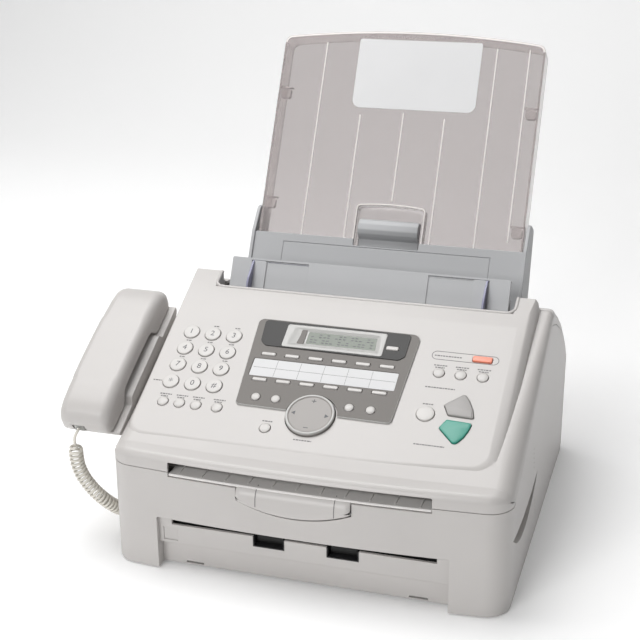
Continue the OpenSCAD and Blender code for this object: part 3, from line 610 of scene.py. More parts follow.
def plateau_mesh():
    rings = []
    for h, front, left, right in PLATEAU_RINGS:
        x0, x1 = PANEL_X0 - left, PANEL_X1 + right
        v0, v1 = 8.5 - front, 206.5
        r = 15 + max(0, front) * 0.8
        edge = [x0 + (x1 - x0) * k / 8 for k in range(9)]
        foot = [(x, v0 - front_reach(x)) for x in edge]
        outline = rounded(foot + [(x1, v1), (x0, v1)], [r] + [0] * 7 + [r, 3, 3], 8)
        rings.append([panel(p[0], p[1], h) for p in outline])
    return loft("plateau", rings[::-1])


DIAL = [(-144.6 + 20.7 * (i % 3), 59.9 + 19.8 * (3 - i // 3)) for i in range(12)]
DIAL_NAMES = ["key_1", "key_2", "key_3", "key_4", "key_5", "key_6", "key_7", "key_8", "key_9", "key_star",
    "key_0", "key_hash"]
DIAL_MARKS = "123456789*0#"
SMALL_ROUND = [(-144.1, 37), (-128.5, 37), (-113, 37), (-93.3, 37), (90.7, 102.7), (109.8, 102.7),
    (129, 102.7), (-44.3, 21.7)]
NAV = (-8.7, 40)
STOP = (88.4, 57)
ANSWER = (125.3, 122.5)
STATION_X = [-64.2 + 21.8 * i for i in range(6)]
STATION_V = (102, 72.3)
BEZEL_ROUND = [(-61.8, 52.7), (-43.5, 52.7), (22.8, 52.7), (41.7, 52.7)]
DISPLAY_KEY = (45, 122.8)
COPY = [(102.4, 68.4), (116.3, 81), (118.6, 81), (123, 75), (127, 67), (129.4, 58.6), (128.6, 57.2),
    (107.6, 58)]
FAX = [(107.4, 53), (128, 52), (129, 50.6), (127.6, 44), (124.6, 36.4), (120.4, 30.6), (118.4, 29.6),
    (116.4, 30), (103, 43.4), (103.2, 45)]


def grown(outline, d):
    """Outline moved out by d."""
    n = len(outline)
    out = []
    for i in range(n):
        p, a, b = Vector(outline[i]), Vector(outline[i - 1]), Vector(outline[(i + 1) % n])
        u, w = (p - a).normalized(), (b - p).normalized()
        nu, nw = Vector((u.y, -u.x)), Vector((w.y, -w.x))
        m = (nu + nw).normalized()
        out.append(p + m * (d / max(0.4, m.dot(nu))))
    return out


def turned_left(outline):
    """The outline in the order that grown() needs, anticlockwise."""
    area = sum(a[0] * b[1] - b[0] * a[1] for a, b in zip(outline, outline[1:] + outline[:1]))
    return outline if area > 0 else outline[::-1]


def side_of(path, i):
    """Unit normal of an open path at its point i."""
    d = (Vector(path[min(len(path) - 1, i + 1)]) - Vector(path[max(0, i - 1)])).normalized()
    return Vector((d.y, -d.x))


COPY, FAX = turned_left(COPY), turned_left(FAX)


def key_holes(slack=0.5):
    """Cutters for the keys that stand in the cover."""
    x, v = ANSWER
    holes = [circle(*p, 7.3 + slack) for p in DIAL] + [circle(*p, 4.8 + slack, 28) for p in SMALL_ROUND]
    holes += [circle(*STOP, 7.7 + slack), circle(*NAV, 22.2, 72)]
    holes += [rounded(rect(x - 9, v - 3.5, x + 9, v + 3.5), 1.5)]
    holes += [rounded(grown(key, slack), 1.5, 3) for key in (COPY, FAX)]
    return [prism("cut", hole, -12, 4, panel) for hole in holes]


def seam(gap):
    """Side outline of everything under the casing's seams, drawn back by gap."""
    line = [(-30, 96), (16.5, 96), (206, 183), (232, 174.5), (282, 149.5), (308, 129.5)]
    line = [(y, z - gap) for y, z in line] + [(329.6 - gap, 110 - gap), (329.6 - gap, -8), (-30, -8)]
    return rounded(line, [0, 10, 4, 6, 8, 8, 3, 0, 0])


def make_casing():
    shell = casing_mesh("shell")
    whole = copy_of(shell, "whole")
    hollow = casing_mesh("hollow", WALL, floor=-6)
    under = prism("under", seam(0.3), -200, 200, sideways)
    boolean(whole, plateau_mesh(), "UNION")
    boolean(shell, hollow, keep=True)
    boolean(whole, hollow)
    carve(whole, rounded(rect(-163.5, 13, 149, 172), 10), -55, -2.8, panel)
    crown = [(163, 0), (225, -crown_drop(225)), (225, 30), (163, 30)]
    carve(whole, crown, -200, 200, lambda v, h, x: panel(x, v, h))

    # front cover
    over = prism("over", seam(-0.3), -200, 200, sideways)
    boolean(whole, over, "DIFFERENCE")
    carve(whole, rect(206, -10, 400, 300), -200, 200, sideways)
    carve(whole, rect(203.5, 198, 400, 300), -200, 200, sideways)
    carve(whole, rect(-142, 181.5, 142, 260), -60, 40, panel)
    carve(whole, rounded(rect(-117, 80, 112, 105), [0, 0, 1.2, 1.2], 3), -30, 11, facing)
    for cut in key_holes():
        boolean(whole, cut)
    cover = dress(whole, "front_cover", "case")
    cover.name = "cover_moulding"
    label_as(cover, "case", "front_cover")

    # cabinet
    cabinet = copy_of(shell, "cabinet_moulding")
    boolean(cabinet, under, "INTERSECT")
    carve(cabinet, rounded(rect(-130, -8, 127, 51), [0, 0, 1.5, 1.5], 3), -30, 20, facing)
    carve(cabinet, lip_outline(0.8, 2.2), -30, 8, facing)
    carve(cabinet, rect(-117, 91.5, 112, 111), -30, 12, facing)
    carve(cabinet, grip_outline(), 165, 176, sideways)
    for i in range(5):
        carve(cabinet, circle(118 + 1.6 * i, 100 - 5.2 * i, 1, 12), 160, 180, sideways)
        carve(cabinet, circle(138 + 1.6 * i, 40 - 4 * i, 0.8, 12), 160, 180, sideways)
    carve(cabinet, rounded(rect(193, 21, 207, 35), 1), -180, -160, sideways)
    label_as(dress(cabinet, "root", "case"), "case", "lower_cabinet")
    # floor and walls of the carrying recess
    grip = prism("carrying_recess", grown(grip_outline(), 1.2), 166.4, 172.4, sideways)
    carve(grip, grip_outline(), 167.6, 180, sideways)
    label_as(dress(grip, "root", "case"), "case")

    # rear cover
    rear = shell
    rear.name = "rear_moulding"
    carve(rear, seam(-0.3), -200, 200, sideways)
    carve(rear, rect(-40, -10, 206.6, 300), -200, 200, sideways)
    carve(rear, rect(320, -10, 360, 7), -200, 200, sideways)
    carve(rear, rect(-139.5, 200, 139.5, 307), 100, 220, from_above)
    carve(rear, rect(-134.3, 27.7, -105.7, 48.3), 330, 360, facing)
    for x in (-70, -50):
        carve(rear, rect(x - 7, 24, x + 7, 36), 330, 360, facing)
    for i in range(10):
        carve(rear, rounded(rect(60 + 7 * i, 40, 63 + 7 * i, 74), 1.2), 330, 360, facing)
    label_as(dress(rear, "root", "case"), "case", "rear_cover")


NOTCHES = ((-43.6, -15.6), (21.8, 49.8))


def make_exit_panel():
    """Panel set back between the legs, its notches, and the roof and ends of the paper gap."""
    top = 43.0
    ledge, back = 25.0, 7.0
    plate = prism("exit_plate", rect(-130, ledge, 127, top), 1, 3.6, facing)
    boolean(plate, prism("foot", rect(-130, 2.5, 127, ledge + 1.5), back, back + 2.6, facing), "UNION")
    boolean(plate, prism("ledge", rect(-130, ledge, 127, ledge + 1.8), 1.1, back + 1, facing), "UNION")
    for low, high in NOTCHES:
        carve(plate, rect(low, 33.5, high, 60), -5, 10, facing)
    # two low slots in the foot
    for x in (-108, 92):
        carve(plate, rect(x, 3.6, x + 16, 5.4), -2, 20, facing)
    # stepped frame at the left end
    carve(plate, rect(-126, 27.5, -113, top - 3), -2, 1.8, facing)
    for x0, x1 in ((-132.6, -130), (127, 129.6)):
        side = prism("end", rect(x0, 1.5, x1, 52), -0.95, back + 2.6, facing)
        boolean(plate, side, "UNION")
    for x0, x1 in ((-130, -118), (116, 127)):
        boolean(plate, prism("block", rect(x0, top - 0.1, x1, 52), 1, 3.6, facing), "UNION")
    roof = [(x, bow(x) + 1.4) for x in [-132.6 + 262.2 * k / 20 for k in range(21)]] + [(129.6, 8),
        (-132.6, 8)]
    boolean(plate, prism("roof", roof, 51, 53, from_above), "UNION")
    plate = dress(plate, "root", "case")
    plate.name = "exit_moulding"
    label_as(plate, "case", "exit_panel")
    # dark strips on the walls and floor of each notch: painted shade inside the notches
    painted_shade_strips = []
    for low, high in NOTCHES:
        for a, b, c, d in ((low, 33.5, low + 1, top), (high - 1, 33.5, high, top), (low, 33.5, high, 34.5)):
            painted_shade_strips.append(prism("shade_bar", rect(a, b, c, d), 0.7, 8, facing))
    label_as(joined("notch_painted_shade", painted_shade_strips, "root", "dark"), "dark")


def make_exit_rollers():
    parts = []
    for low, high, r in [(-128, 124, 3)] + [(low + 2, high - 2, 8) for low, high in NOTCHES]:
        rings = []
        for x, q in ((low, r - 0.5), (low + 0.5, r), (high - 0.5, r), (high, r - 0.5)):
            rings.append([place(x, *p) for p in circle(13.5, 40.5, q)])
        parts.append(loft("roller", rings))
    label_as(joined("exit_roller_set", parts, "exit_rollers", "rubber"), "dark", "exit_rollers")


def lip_outline(side, below):
    half, sag, low, mid = 49.5, 10.0, 72.0, -4.5
    r = (half ** 2 + sag ** 2) / (2 * sag)
    out = []
    for k in range(25):
        x = (half + side) * (k / 12 - 1)
        out.append((mid + x, low - below + r - sqrt(r * r - x * x)))
    return out + [(mid + half + side, 112), (mid - half - side, 112)]


def grip_outline():
    outer = [(84 + 106 * sin(a), 147 - 106 * cos(a)) for a in [radians(-38.5 + 77 * k / 28)
        for k in range(29)]]
    inner = [(84 + 366 * sin(a), 424 - 366 * cos(a)) for a in [radians(10.3 - 20.6 * k / 16)
        for k in range(17)]]
    return outer + inner


make_casing()


# ---------- document guide and lifting lip ----------

def make_document_guide():
    plate = 2.5
    floor = 94.5
    label_as(prism("document_floor", [(10.5, floor - plate), (43, floor - plate), (179.2, 163.5),
        (178, 165.7), (42.5, floor), (10.5, floor)],
                  -158, 158, sideways, "front_cover", "case", 0.6), "case", "document_guide")
    rows = []
    steps = 24
    for k in range(steps + 1):
        x = -116.4 + (111.4 + 116.4) * k / steps
        y0 = bow(x) + 0.4
        rows.append([place(x, y0 + 1.2, floor - plate), place(x, y0, floor - plate + 1),
            place(x, y0, floor - 0.8),
                     place(x, y0 + 0.8, floor), place(x, 10.5, floor), place(x, 10.5, floor - plate)])
    # slot floor and its ribs in the lightened slot plastic: painted light over the shade under the cover's
    # overhang
    shelf = label_as(loft("slot_floor", rows, "front_cover", "shelf"), "case")
    ribs = [prism("rib", rounded(rect(-108.5 + 21 * i, -3, -107.5 + 21 * i, 38), 0.4, 2), floor - 0.2,
        floor + 0.55, from_above)
            for i in range(11)]
    label_as(joined("slot_ribs", ribs, "front_cover", "shelf"), "case")


def make_lip():
    """Crescent lip: a rolled top edge and a face that ends in a curved lower edge."""
    half, mid = 49.5, -4.5
    r = (half ** 2 + 10.0 ** 2) / 20.0
    rings = []
    steps = 44
    for k in range(steps + 1):
        t = 2 * k / steps - 1
        x = half * t
        low = 72 + r - sqrt(r * r - x * x)
        edge = max(0.0, (abs(x) - (half - 3)) / 3)
        pull = 1.6 * edge ** 2
        face = [(-2, 94.4), (-5, 94.2), (-8, 93.0), (-10.3, 90.5), (-11.7, 87.2), (-12.3, 83.5)]
        bottom = [(-12.4, low + 3.2), (-12.1, low + 1.2), (-11.0, low + 0.2), (-9.4, low), (-7, low + 1.6),
            (-6, low + 4), (-5.6, 88), (-2, 91.8)]
        section = face + bottom
        rings.append([place(x + mid, y + pull, z) for y, z in section])
    label_as(loft("lifting_lip", rings, "front_cover", "case", angle=45), "case")
    for s in (-1, 1):
        x = mid + (-31.5 if s < 0 else 36.5)
        line = [(-2.2, 94.6), (-5, 94.4), (-8, 93.2), (-10.4, 90.7), (-11.8, 87.3), (-12.4, 83.5),
            (-12.45, 79)]
        label_as(loft("lip_seam_%s" % ("left" if s < 0 else "right"),
                     [[place(x + d, y, z) for d in (-0.35, 0.35)]
                     + [place(x + d, y + 0.5, z - 0.4) for d in (0.35, -0.35)] for y, z in line],
                     "front_cover", "pale_ink"), "grey")


make_exit_panel()
make_exit_rollers()
make_document_guide()
make_lip()


# ---------- panel: bezel, display, keys ----------

def make_bezel():
    outline = rounded([(-84.9, 143.2), (-77.9, 45.5), (-76, 43.4), (59, 41.8), (61.8, 44), (67, 142.1)],
        [5, 3, 3, 5, 3, 7], 6)
    plate = prism("bezel_plate", outline, 0, 1.6, panel)
    carve(plate, circle(NAV[0] + 0.5, NAV[1] - 0.9, 23.2, 72), -3, 4, panel)
    for x in STATION_X:
        for v in STATION_V:
            carve(plate, rounded(rect(x - 7, v - 2.1, x + 7, v + 2.1), 1.2), -3, 4, panel)
    for p in BEZEL_ROUND:
        carve(plate, circle(*p, 4.5, 28), -3, 4, panel)
    carve(plate, rounded(rect(-76.2, 76.0, 57.2, 96.6), 1.5), 1.1, 4, panel)
    carve(plate, rect(-36.5, 113.5, 32, 137.5), -3, 4, panel)
    plate = label_as(dress(plate, "front_cover", "bezel"), "bezel", "panel_bezel")
    soften(plate, 0.35, 2)
    # raised edge round the bezel, painted pale as a highlight along its rim
    outline = turned_left(outline)
    line, inside = grown(outline, 0.5), grown(outline, -0.5)
    ring = []
    for a, b in zip(line, inside):
        ring.append([panel(a[0], a[1], 0), panel(a[0], a[1], 1.1),
            panel((a[0] + b[0]) / 2, (a[1] + b[1]) / 2, 1.75), panel(b[0], b[1], 1.2),
            panel(b[0], b[1], 0)])
    ring.append(ring[0])
    edge = loft("bezel_edge_highlight", ring, caps=False)
    carve(edge, circle(NAV[0] + 0.5, NAV[1] - 0.9, 23.2, 72), -3, 4, panel)
    label_as(dress(edge, "front_cover", "frame"), "case")


def make_card():
    """Strip of card between the rows of station keys, ruled for names."""
    label_as(prism("name_card", rounded(rect(-75.6, 76.5, 56.8, 96.1), 1), 1.1, 1.3, panel, "front_cover",
        "paper"), "key")
    lines = [prism("line", rect(-74, v - 0.15, 55.5, v + 0.15), 1.3, 1.36, panel) for v in (86.3,)]
    for i in range(5):
        x = -53.3 + 21.8 * i
        lines.append(prism("line", rect(x - 0.12, 77.2, x + 0.12, 95.4), 1.3, 1.36, panel))
    label_as(joined("card_lines", lines, "front_cover", "pale_ink"), "grey")


def make_display():
    outline = rounded([(-78.3, 141.6), (-76, 116.6), (-70.6, 111.6), (53, 110.4), (58.1, 115),
        (58.6, 140.8)], [3, 4, 4, 4, 4, 3], 4)
    band = prism("display_band", outline, 1.6, 2.3, panel)
    carve(band, rounded(rect(-56, 112.3, 37.4, 139.5), 2), 1, 5, panel)
    carve(band, rounded(rect(39, 120.3, 51, 125.3), 1.5), 1, 5, panel)
    label_as(dress(band, "front_cover", "display"), "display", "display_frame")
    # light frame with a sunken window
    outer = rounded(rect(-55.8, 112.5, 37.2, 139.3), 2, 4)
    mids = rounded([(-50.5, 116.0), (33.6, 116.0), (31.4, 135.8), (-47.6, 135.8)], 1.6, 4)
    inner = rounded([(-34.5, 119.4), (29.6, 119.4), (28.4, 133.2), (-34.5, 133.2)], 0.8, 4)
    rings = [[panel(p[0], p[1], h) for p in o] for o, h in
             ((outer, 1.5), (outer, 2.25), (grown(outer, -0.5), 2.4), (grown(mids, 0.4), 2.4), (mids, 2.2),
             (inner, 0.9))]
    label_as(loft("display_rim", rings, "front_cover", "frame", caps=False), "grey")
    label_as(prism("lcd_glass", grown(inner, 0.3), 0.4, 1.0, panel, "front_cover", "lcd"), "lcd",
        "lcd_window")
    cells = []
    for row in range(2):
        for k in range(16):
            x = -30.6 + 3.72 * k
            v = 129.6 - 6.4 * row
            if (k * 7 + row * 5) % 4 == 3:
                continue
            cells.append(prism("cell", rect(x - 1.2, v - 1.9, x + 1.2, v - 0.9), 1.0, 1.04, panel))
            if (k + row) % 3:
                cells.append(prism("cell", rect(x - 1.2, v + 0.9, x + 1.2, v + 1.9), 1.0, 1.04, panel))
    label_as(joined("lcd_cells", cells, "front_cover", "ink"), "display")


def button(name, node, body, x, v, r, top, material="key", dome=0.5, n=40, lip=0.7):
    """Round key: straight side, rounded shoulder, lightly domed top."""
    profile = [(r, -6.5), (r, top - lip)]
    for k in range(1, 5):
        a = pi / 2 * k / 4
        profile.append((r - lip * (1 - cos(a)), top - lip + lip * sin(a)))
    for k in range(1, 5):
        q = (r - lip) * (1 - k / 4.6)
        profile.append((q, top + dome * (1 - (q / r) ** 2)))
    rings = [[panel(*p, h) for p in circle(x, v, q, n)] for q, h in profile]
    key = loft(name, rings, body, material)
    if node:
        label_as(key, material, node)
    return key


def slab(name, x, v, w, d, top, body=None, material=None, r=1.2):
    rings = []
    for inset, h in ((0, -6.5), (0, top - 0.5), (0.15, top - 0.15), (0.5, top), (1.0, top + 0.08)):
        o = rounded(rect(x - w / 2 + inset, v - d / 2 + inset, x + w / 2 - inset, v + d / 2 - inset),
            max(0.3, r - inset), 4)
        rings.append([panel(p[0], p[1], h) for p in o])
    return loft(name, rings, body, material)


def numeral(name, mark, body, x, v, h, size, material="ink"):
    data = bpy.data.curves.new(name, "FONT")
    data.body = mark
    data.size = size / 1000
    data.align_x = "CENTER"
    data.align_y = "CENTER"
    data.extrude = 0.00006
    data.resolution_u = 3
    text = bpy.data.objects.new(name, data)
    bpy.context.scene.collection.objects.link(text)
    turn = Matrix.Rotation(TILT, 4, "X")
    text.matrix_world = Matrix.Translation(panel(x, v, h)) @ turn
    bpy.context.view_layer.update()
    shape = bpy.data.meshes.new_from_object(text.evaluated_get(bpy.context.evaluated_depsgraph_get()))
    shape.transform(text.matrix_world)
    bpy.data.objects.remove(text)
    piece = label_as(add(name, shape, body, material), "display")
    return piece


def sector_key(name, node, outline, material):
    low, high = -6.5, 1.6
    smooth = rounded(outline, 1.6, 4)
    rings = []
    for inset, h in ((0, low), (0, high - 0.7), (0.2, high - 0.2), (0.7, high), (1.8, high + 0.15)):
        rings.append([panel(p[0], p[1], h) for p in grown(smooth, -inset)])
    key = label_as(loft(name, rings, node, material), material, node)
    return key


def make_keys():
    for (x, v), node, mark in zip(DIAL, DIAL_NAMES, DIAL_MARKS):
        button(node + "_cap", node, node, x, v, 7.3, 1.3, dome=0.3)
        numeral(node + "_numeral", mark, node, x, v + (-1.2 if mark == "*" else 0), 1.58, 9.5
            if mark == "*" else 8)
    label_as(joined("small_round_caps", [button("b", None, None, x, v, 4.8, 1.1, "key", n=28) for x,
        v in SMALL_ROUND], "round_keys", "key"), "key", "round_keys")
    button("stop_cap", "stop_key", "stop_key", *STOP, 7.7, 1.3)
    numeral("stop_mark", "/", "stop_key", STOP[0], STOP[1], 1.5, 6, "pale_ink")
    label_as(joined("station_caps", [slab("s", x, v, 13, 3.2, 2.5) for x in STATION_X for v in STATION_V],
        "station_keys", "key"), "key", "station_keys")
    small = [button("b", None, None, x, v, 4, 2.6, "key", n=28) for x, v in BEZEL_ROUND]
    small.append(slab("s", *DISPLAY_KEY, 11, 4, 3.2))
    label_as(joined("bezel_caps", small, "bezel_keys", "key"), "key", "bezel_keys")
    label_as(slab("answer_cap", *ANSWER, 17, 6, 1.5, "auto_answer_key", "answer"), "answer",
        "auto_answer_key")
    sector_key("copy_cap", "copy_start_key", COPY, "copy")
    sector_key("fax_cap", "fax_start_key", FAX, "fax")
    # navigator disc, a raised ring round it painted pale as a highlight on its rim, and its arrows
    x, v = NAV
    profile = [(21.4, -6.5), (21.4, 1.9), (21.2, 2.6), (20.6, 3.1), (19.6, 3.2), (18.9, 2.9), (18.5, 2.6),
        (14, 2.75), (8, 2.9), (2, 2.95)]
    rings = [[panel(*p, h) for p in circle(x, v, q, 72)] for q, h in profile]
    label_as(loft("navigator_disc", rings, "navigator_key", "nav"), "nav", "navigator_key")
    ring = []
    for k in range(73):
        a = 2 * pi * k / 72
        ring.append([panel(x + q * cos(a), v + q * sin(a), h) for q,
            h in ((21.55, 1.5), (21.5, 2.7), (20.9, 3.3), (20.2, 3.38), (19.5, 3.25), (19.7, 2.9))])
    label_as(loft("navigator_ring_highlight", ring, "navigator_key", "frame", caps=False), "grey")
    marks = []
    for a, b in ((1, 0), (-1, 0)):
        cx, cv = x + 14.5 * a, v + 14.5 * b
        marks.append(prism("m", [(cx + 2.2 * a, cv), (cx - 1.2 * a, cv - 2), (cx - 1.2 * a, cv + 2)], 2.7,
            2.86, panel))
    marks.append(prism("m", rect(x - 2, v + 14.1, x + 2, v + 14.8), 2.7, 2.84, panel))
    marks.append(prism("m", rect(x - 0.35, v + 12.5, x + 0.35, v + 16.4), 2.7, 2.84, panel))
    marks.append(prism("m", rect(x - 2, v - 14.8, x + 2, v - 14.1), 2.7, 2.84, panel))
    label_as(joined("navigator_marks", marks, "navigator_key", "ink"), "display")


def make_prints():
    """Generic marks where the panel carries captions: short bars, never letters."""
    bars = []

    def caption(x, v, w, rows=1):
        for r in range(rows):
            left = x - w / 2 + (r % 2) * w * 0.12
            end = x + w / 2 - (r % 2) * w * 0.18
            at = left
            k = 0
            while at < end - 0.5:
                step = (1.7, 2.6, 1.3, 2.1)[k % 4]
                bars.append(prism("bar", rect(at, v - 2.4 * r - 0.62, min(at + step, end), v - 2.4 * r
                    + 0.62), -0.02, 0.05, panel))
                at += step + 0.55
                k += 1

    for x, v in DIAL[1:9]:
        caption(x + 0.8, v + 9.9, 5.5)
    for x, v in SMALL_ROUND[:4]:
        caption(x, v + 8.6, 11, 2)
    for x, v in SMALL_ROUND[4:7]:
        caption(x, v + 8.8, 12, 2)
    caption(-44.3, 29.3, 9)
    caption(88.4, 67.8, 9)
    caption(98, 25, 26)
    caption(95, 86.5, 26)
    caption(-8.7, 13.8, 16)
    caption(-157.5, 59.9, 8)
    caption(95, 122.5, 24)
    label_as(joined("panel_captions", bars, "front_cover", "pale_ink"), "display")
    # thin outline round the answer key and its caption
    line = rounded(rect(80.7, 118.2, 139.3, 127.4), 4.4, 8)
    ring = [[panel(p[0], p[1], -0.1), panel(p[0], p[1], 0.08), panel(q[0], q[1], 0.08),
        panel(q[0], q[1], -0.1)]
            for p, q in zip(grown(line, 0.3), grown(line, -0.3))]
    label_as(loft("answer_outline", ring + [ring[0]], "front_cover", "pale_ink", caps=False), "display")


make_bezel()
make_card()
make_display()
make_keys()
make_prints()


# ---------- rim of the document entrance ----------

def make_rim():
    half, corner_v, r = 143, 190, 8
    arc = [(half - r * (1 - cos(radians(a))), corner_v - r * sin(radians(a))) for a in (90, 70, 45, 20)]
    right = [(100, 181.9)] + arc + [(half, corner_v), (half, 204)]
    path = [(-x, v) for x, v in right[::-1]] + [(0, 181.7)] + right
    rings = []
    for i, p in enumerate(path):
        n = side_of(path, i)
        drop = crown_drop(p[1])
        rings.append([panel(p[0] + n.x * q, p[1] + n.y * q, h - drop) for q,
            h in ((-1.6, -1.2), (-1.4, 0.4), (-0.5, 1.1), (0.5, 1.1), (1.4, 0.4), (1.6, -1.2))])
    label_as(loft("entrance_rim", rings, "front_cover", "case"), "case")


make_rim()


# ---------- handset ----------

def handset_half(v):
    """Half width, crown height and underside of the handset at v along the panel."""
    crown = [(-2, 5), (0, 9.5), (3, 13.2), (8, 16.2), (16, 18.4), (30, 19.9), (55, 20.8), (80, 21),
        (110, 20.5),
             (135, 18.7), (147, 16.2), (154, 12.6), (158.5, 8), (161, 3)]
    under = [(-2, -1), (0, -6.6), (2, -8), (30, -8), (34, -6.4), (37, -2), (40, 2.2), (45, 4), (76, 4.6),
        (105, 4), (111, 2.4),
             (114.5, -2), (118, -6.4), (122, -8), (156, -8), (159.5, -6), (161, -1)]
    width = [(-2, 17), (-1, 20.4), (1, 22.4), (5, 23.6), (12, 24), (148, 24), (154, 23.4), (158.5, 21.4),
        (160.3, 18.8),
             (161, 15)]

    def at(table, v):
        for (a, p), (b, q) in zip(table, table[1:]):
            if v <= b:
                t = max(0.0, (v - a) / (b - a))
                t = t * t * (3 - 2 * t) * 0.35 + t * 0.65
                return p + (q - p) * t
        return table[-1][1]

    return at(width, v), at(crown, v), at(under, v)


def handset_ring(v, n=48):
    half, top, low = handset_half(v)
    centre = -205.0
    crown, side = min(9.0, (top - low) * 0.45, half * 0.6), min(2.5, (top - low) * 0.2)
    pts = []
    corners = ((half, low, side, -90), (half, top, crown, 0), (-half, top, crown, 90),
        (-half, low, side, 180))
    for x, h, r, start in corners:
        inner_x, inner_h = x - copysign(r, x), h + (r if h == low else -r)
        for k in range(n // 4):
            a = radians(start + 90 * k / (n // 4 - 1))
            pts.append(panel(centre + inner_x + r * cos(a), v, inner_h + r * sin(a)))
    return pts


def make_handset():
    stations = [-2, -1.6, -1, 0, 1.2, 3, 5, 8, 12, 16, 22, 28, 31, 33, 35, 36.5, 38, 39.5, 41, 44, 50, 60,
        70, 80, 90, 100, 105, 109,
                111, 112.5, 114, 115.5, 117, 119, 122, 128, 134, 140, 146, 150, 153, 156, 158, 159.5,
                160.4, 161]
    body = loft("handset_body", [handset_ring(v) for v in stations])
    top = copy_of(body, "handset_shell")
    split = prism("split", rect(-240, -20, -170, 180), -40, 2.2, panel)
    boolean(top, split, keep=True)
    base = body
    base.name = "handset_grip"
    boolean(base, split, "INTERSECT")
    carve(base, rounded(rect(-216.4, -8, -204.2, 10), 1), -6.4, 2.0, panel)
    top = dress(top, "handset", "case", 40)
    base = dress(base, "handset", "case", 40)
    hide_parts("handset_top")
    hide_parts("handset_base")


make_handset()


# ---------- cradle ----------

def make_cradle():
    left, right = -227.5, -175.4
    outline = [(3, -12), (3, -9.2), (35.4, -8.7), (39.4, -1.8), (112.6, -1.8), (116.6, -8.7), (156, -8.7),
        (155, -14), (138, -26), (16, -26)]
    smooth = turned_left(rounded(outline, [2, 1, 2, 3, 3, 2, 1.5, 4, 8, 10], 5))
    rings = []
    for x, inset in ((left, 2.2), (left + 0.6, 1.0), (left + 1.8, 0.3), (left + 3.2, 0), (right - 0.5, 0),
        (right, 0.3)):
        rings.append([panel(x, p[0], p[1]) for p in grown(smooth, -inset)])
    cradle = label_as(loft("cradle_moulding", rings, "root", "case"), "case")
    label_as(prism("cradle_bracket", rounded([(50, 62), (50, 104.8), (110, 136.3), (118, 134), (118, 84)],
        2), -178.5, -175.05, sideways, "root", "case", 0.5), "case")
    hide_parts("handset_cradle")


make_cradle()


# ---------- document table, guides, tray base, tray ----------

def make_table():
    plate = prism("table_plate", rounded(rect(-134.5, -16, 134.5, 34.5), 1), -3, 0, table)
    for s in (-1, 1):
        carve(plate, rect(s * 86.5 - 28.5, 31, s * 86.5 + 28.5, 32.6), -9, 3, table)
        carve(plate, rect(s * 86.5 - 28.5, -20, s * 86.5 + 28.5, 31.5), -0.8, 3, table)
    plate = label_as(dress(plate, "root", "grey"), "grey", "document_table")
    soften(plate, 0.3, 2)
    label_as(prism("table_flange", rect(-134.5, 33.3, 134.5, 34.45), -8, -2.9, table, "root", "grey", 0.3),
        "grey")
    for s, side in ((-1, "left"), (1, "right")):
        label_as(prism("table_end_" + side, rounded(rect(-16, -14, 18, -2.8), 1),
            s * 134.4 - (2.4 if s > 0 else 0), s * 134.4 + (0 if s > 0 else 2.4),
                    lambda s_, n_, x_: table(x_, s_, n_), "root", "grey", 0.4), "grey")


def make_guides():
    fin = [(-6, -0.2), (-6, 4), (-3, 5), (0, 8), (3, 10.5), (8, 11.6), (14, 10.2), (24, 5.5), (31.8, 1.4),
        (31.8, 0.2), (0, -0.2)]
    for s, side in ((-1, "left_guide"), (1, "right_guide")):
        a, b = sorted((s * 112, s * 113.8))
        outline = rounded(fin, [0.3, 1, 3, 4, 4, 6, 8, 10, 0.5, 0.3, 0.3], 5)
        label_as(prism(side + "_fin", outline, a, b, lambda s_, n_, x_: table(x_, s_, n_), side, "guide",
            0.5), "guide", side)
        x0, x1 = sorted((s * (113.8 - 14), s * 113.8))
        label_as(prism(side + "_shoe", rounded(rect(x0, 2, x1, 32.3), 2), -0.45, 0.45, table, side, "grey",
            0.3), "guide")
        n0, n1 = sorted((s * 104, s * 114))
        label_as(prism(side + "_neck", rect(n0, 31.3, n1, 32.3), -7.2, 0.3, table, side, "guide"), "guide")
        bars = []
        bar_s = 24.8 + 4 + 0.8 + 0.5 if s < 0 else 24.8 - 4 - 0.8 - 0.5 - 2
        r0, r1 = sorted((s * 114, -s * 8))
        bars.append(prism("bar", rect(r0, bar_s, r1, bar_s + 2), -7.2, -4.6, table))
        pitch = 2 * pi * 4 / 12
        for i in range(-3, 23):
            x = s * pitch * (i + 0.5)
            low = bar_s - 1.3 if s < 0 else bar_s + 1.9
            bars.append(prism("tooth", [(x - 0.4, low), (x + 0.4, low), (x + 0.4, low + 1.4),
                (x - 0.4, low + 1.4)], -7.2, -4.6, table))
        if s > 0:
            bars.append(prism("leg", rect(104, 17.8, 112, 32.3), -7.2, -4.6, table))
        label_as(joined(side + "_rack", bars, side, "guide"), "guide")


def make_tray_base():
    plate = prism("tray_base_plate", rounded(rect(-135.4, -50, 135.4, 31), [0, 0, 2, 2], 4), -3, 0, tray)
    carve(plate, rounded(rect(-33, 24, 33, 40), 1.5), -6, 3, tray)
    for s in (-1, 1):
        carve(plate, rect(s * 104 - 0.4, -20, s * 104 + 0.4, 22.5), -0.6, 3, tray)
    carve(plate, rect(-104.4, 22.1, 104.4, 22.9), -0.6, 3, tray)
    plate = label_as(dress(plate, "root", "grey"), "grey", "paper_tray_base")
    soften(plate, 0.5, 3)
    along = lambda s_, n_, x_: tray(x_, s_, n_)
    for s, side in ((-1, "left"), (1, "right")):
        outline = rounded([(-50, -42), (-6, -44), (60, -31), (60, -6), (31, 2), (-50, 2)],
            [0, 4, 6, 8, 6, 0], 5)
        label_as(prism("tray_wing_" + side, outline, s * 136.6 - 1.7, s * 136.6 + 1.7, along, "root",
            "grey", 0.8), "grey")
    back = prism("tray_base_back", rect(-135.4, -50, 135.4, -10), -44, -42, tray, "root", "grey", 0.5)
    shelf = prism("tray_base_shelf", rect(-135, -52, 135, -49.8), -3, 27, tray, "root", "grey", 0.5)


TRAY_HALF = 133.0
TRAY_LEN = 246.0


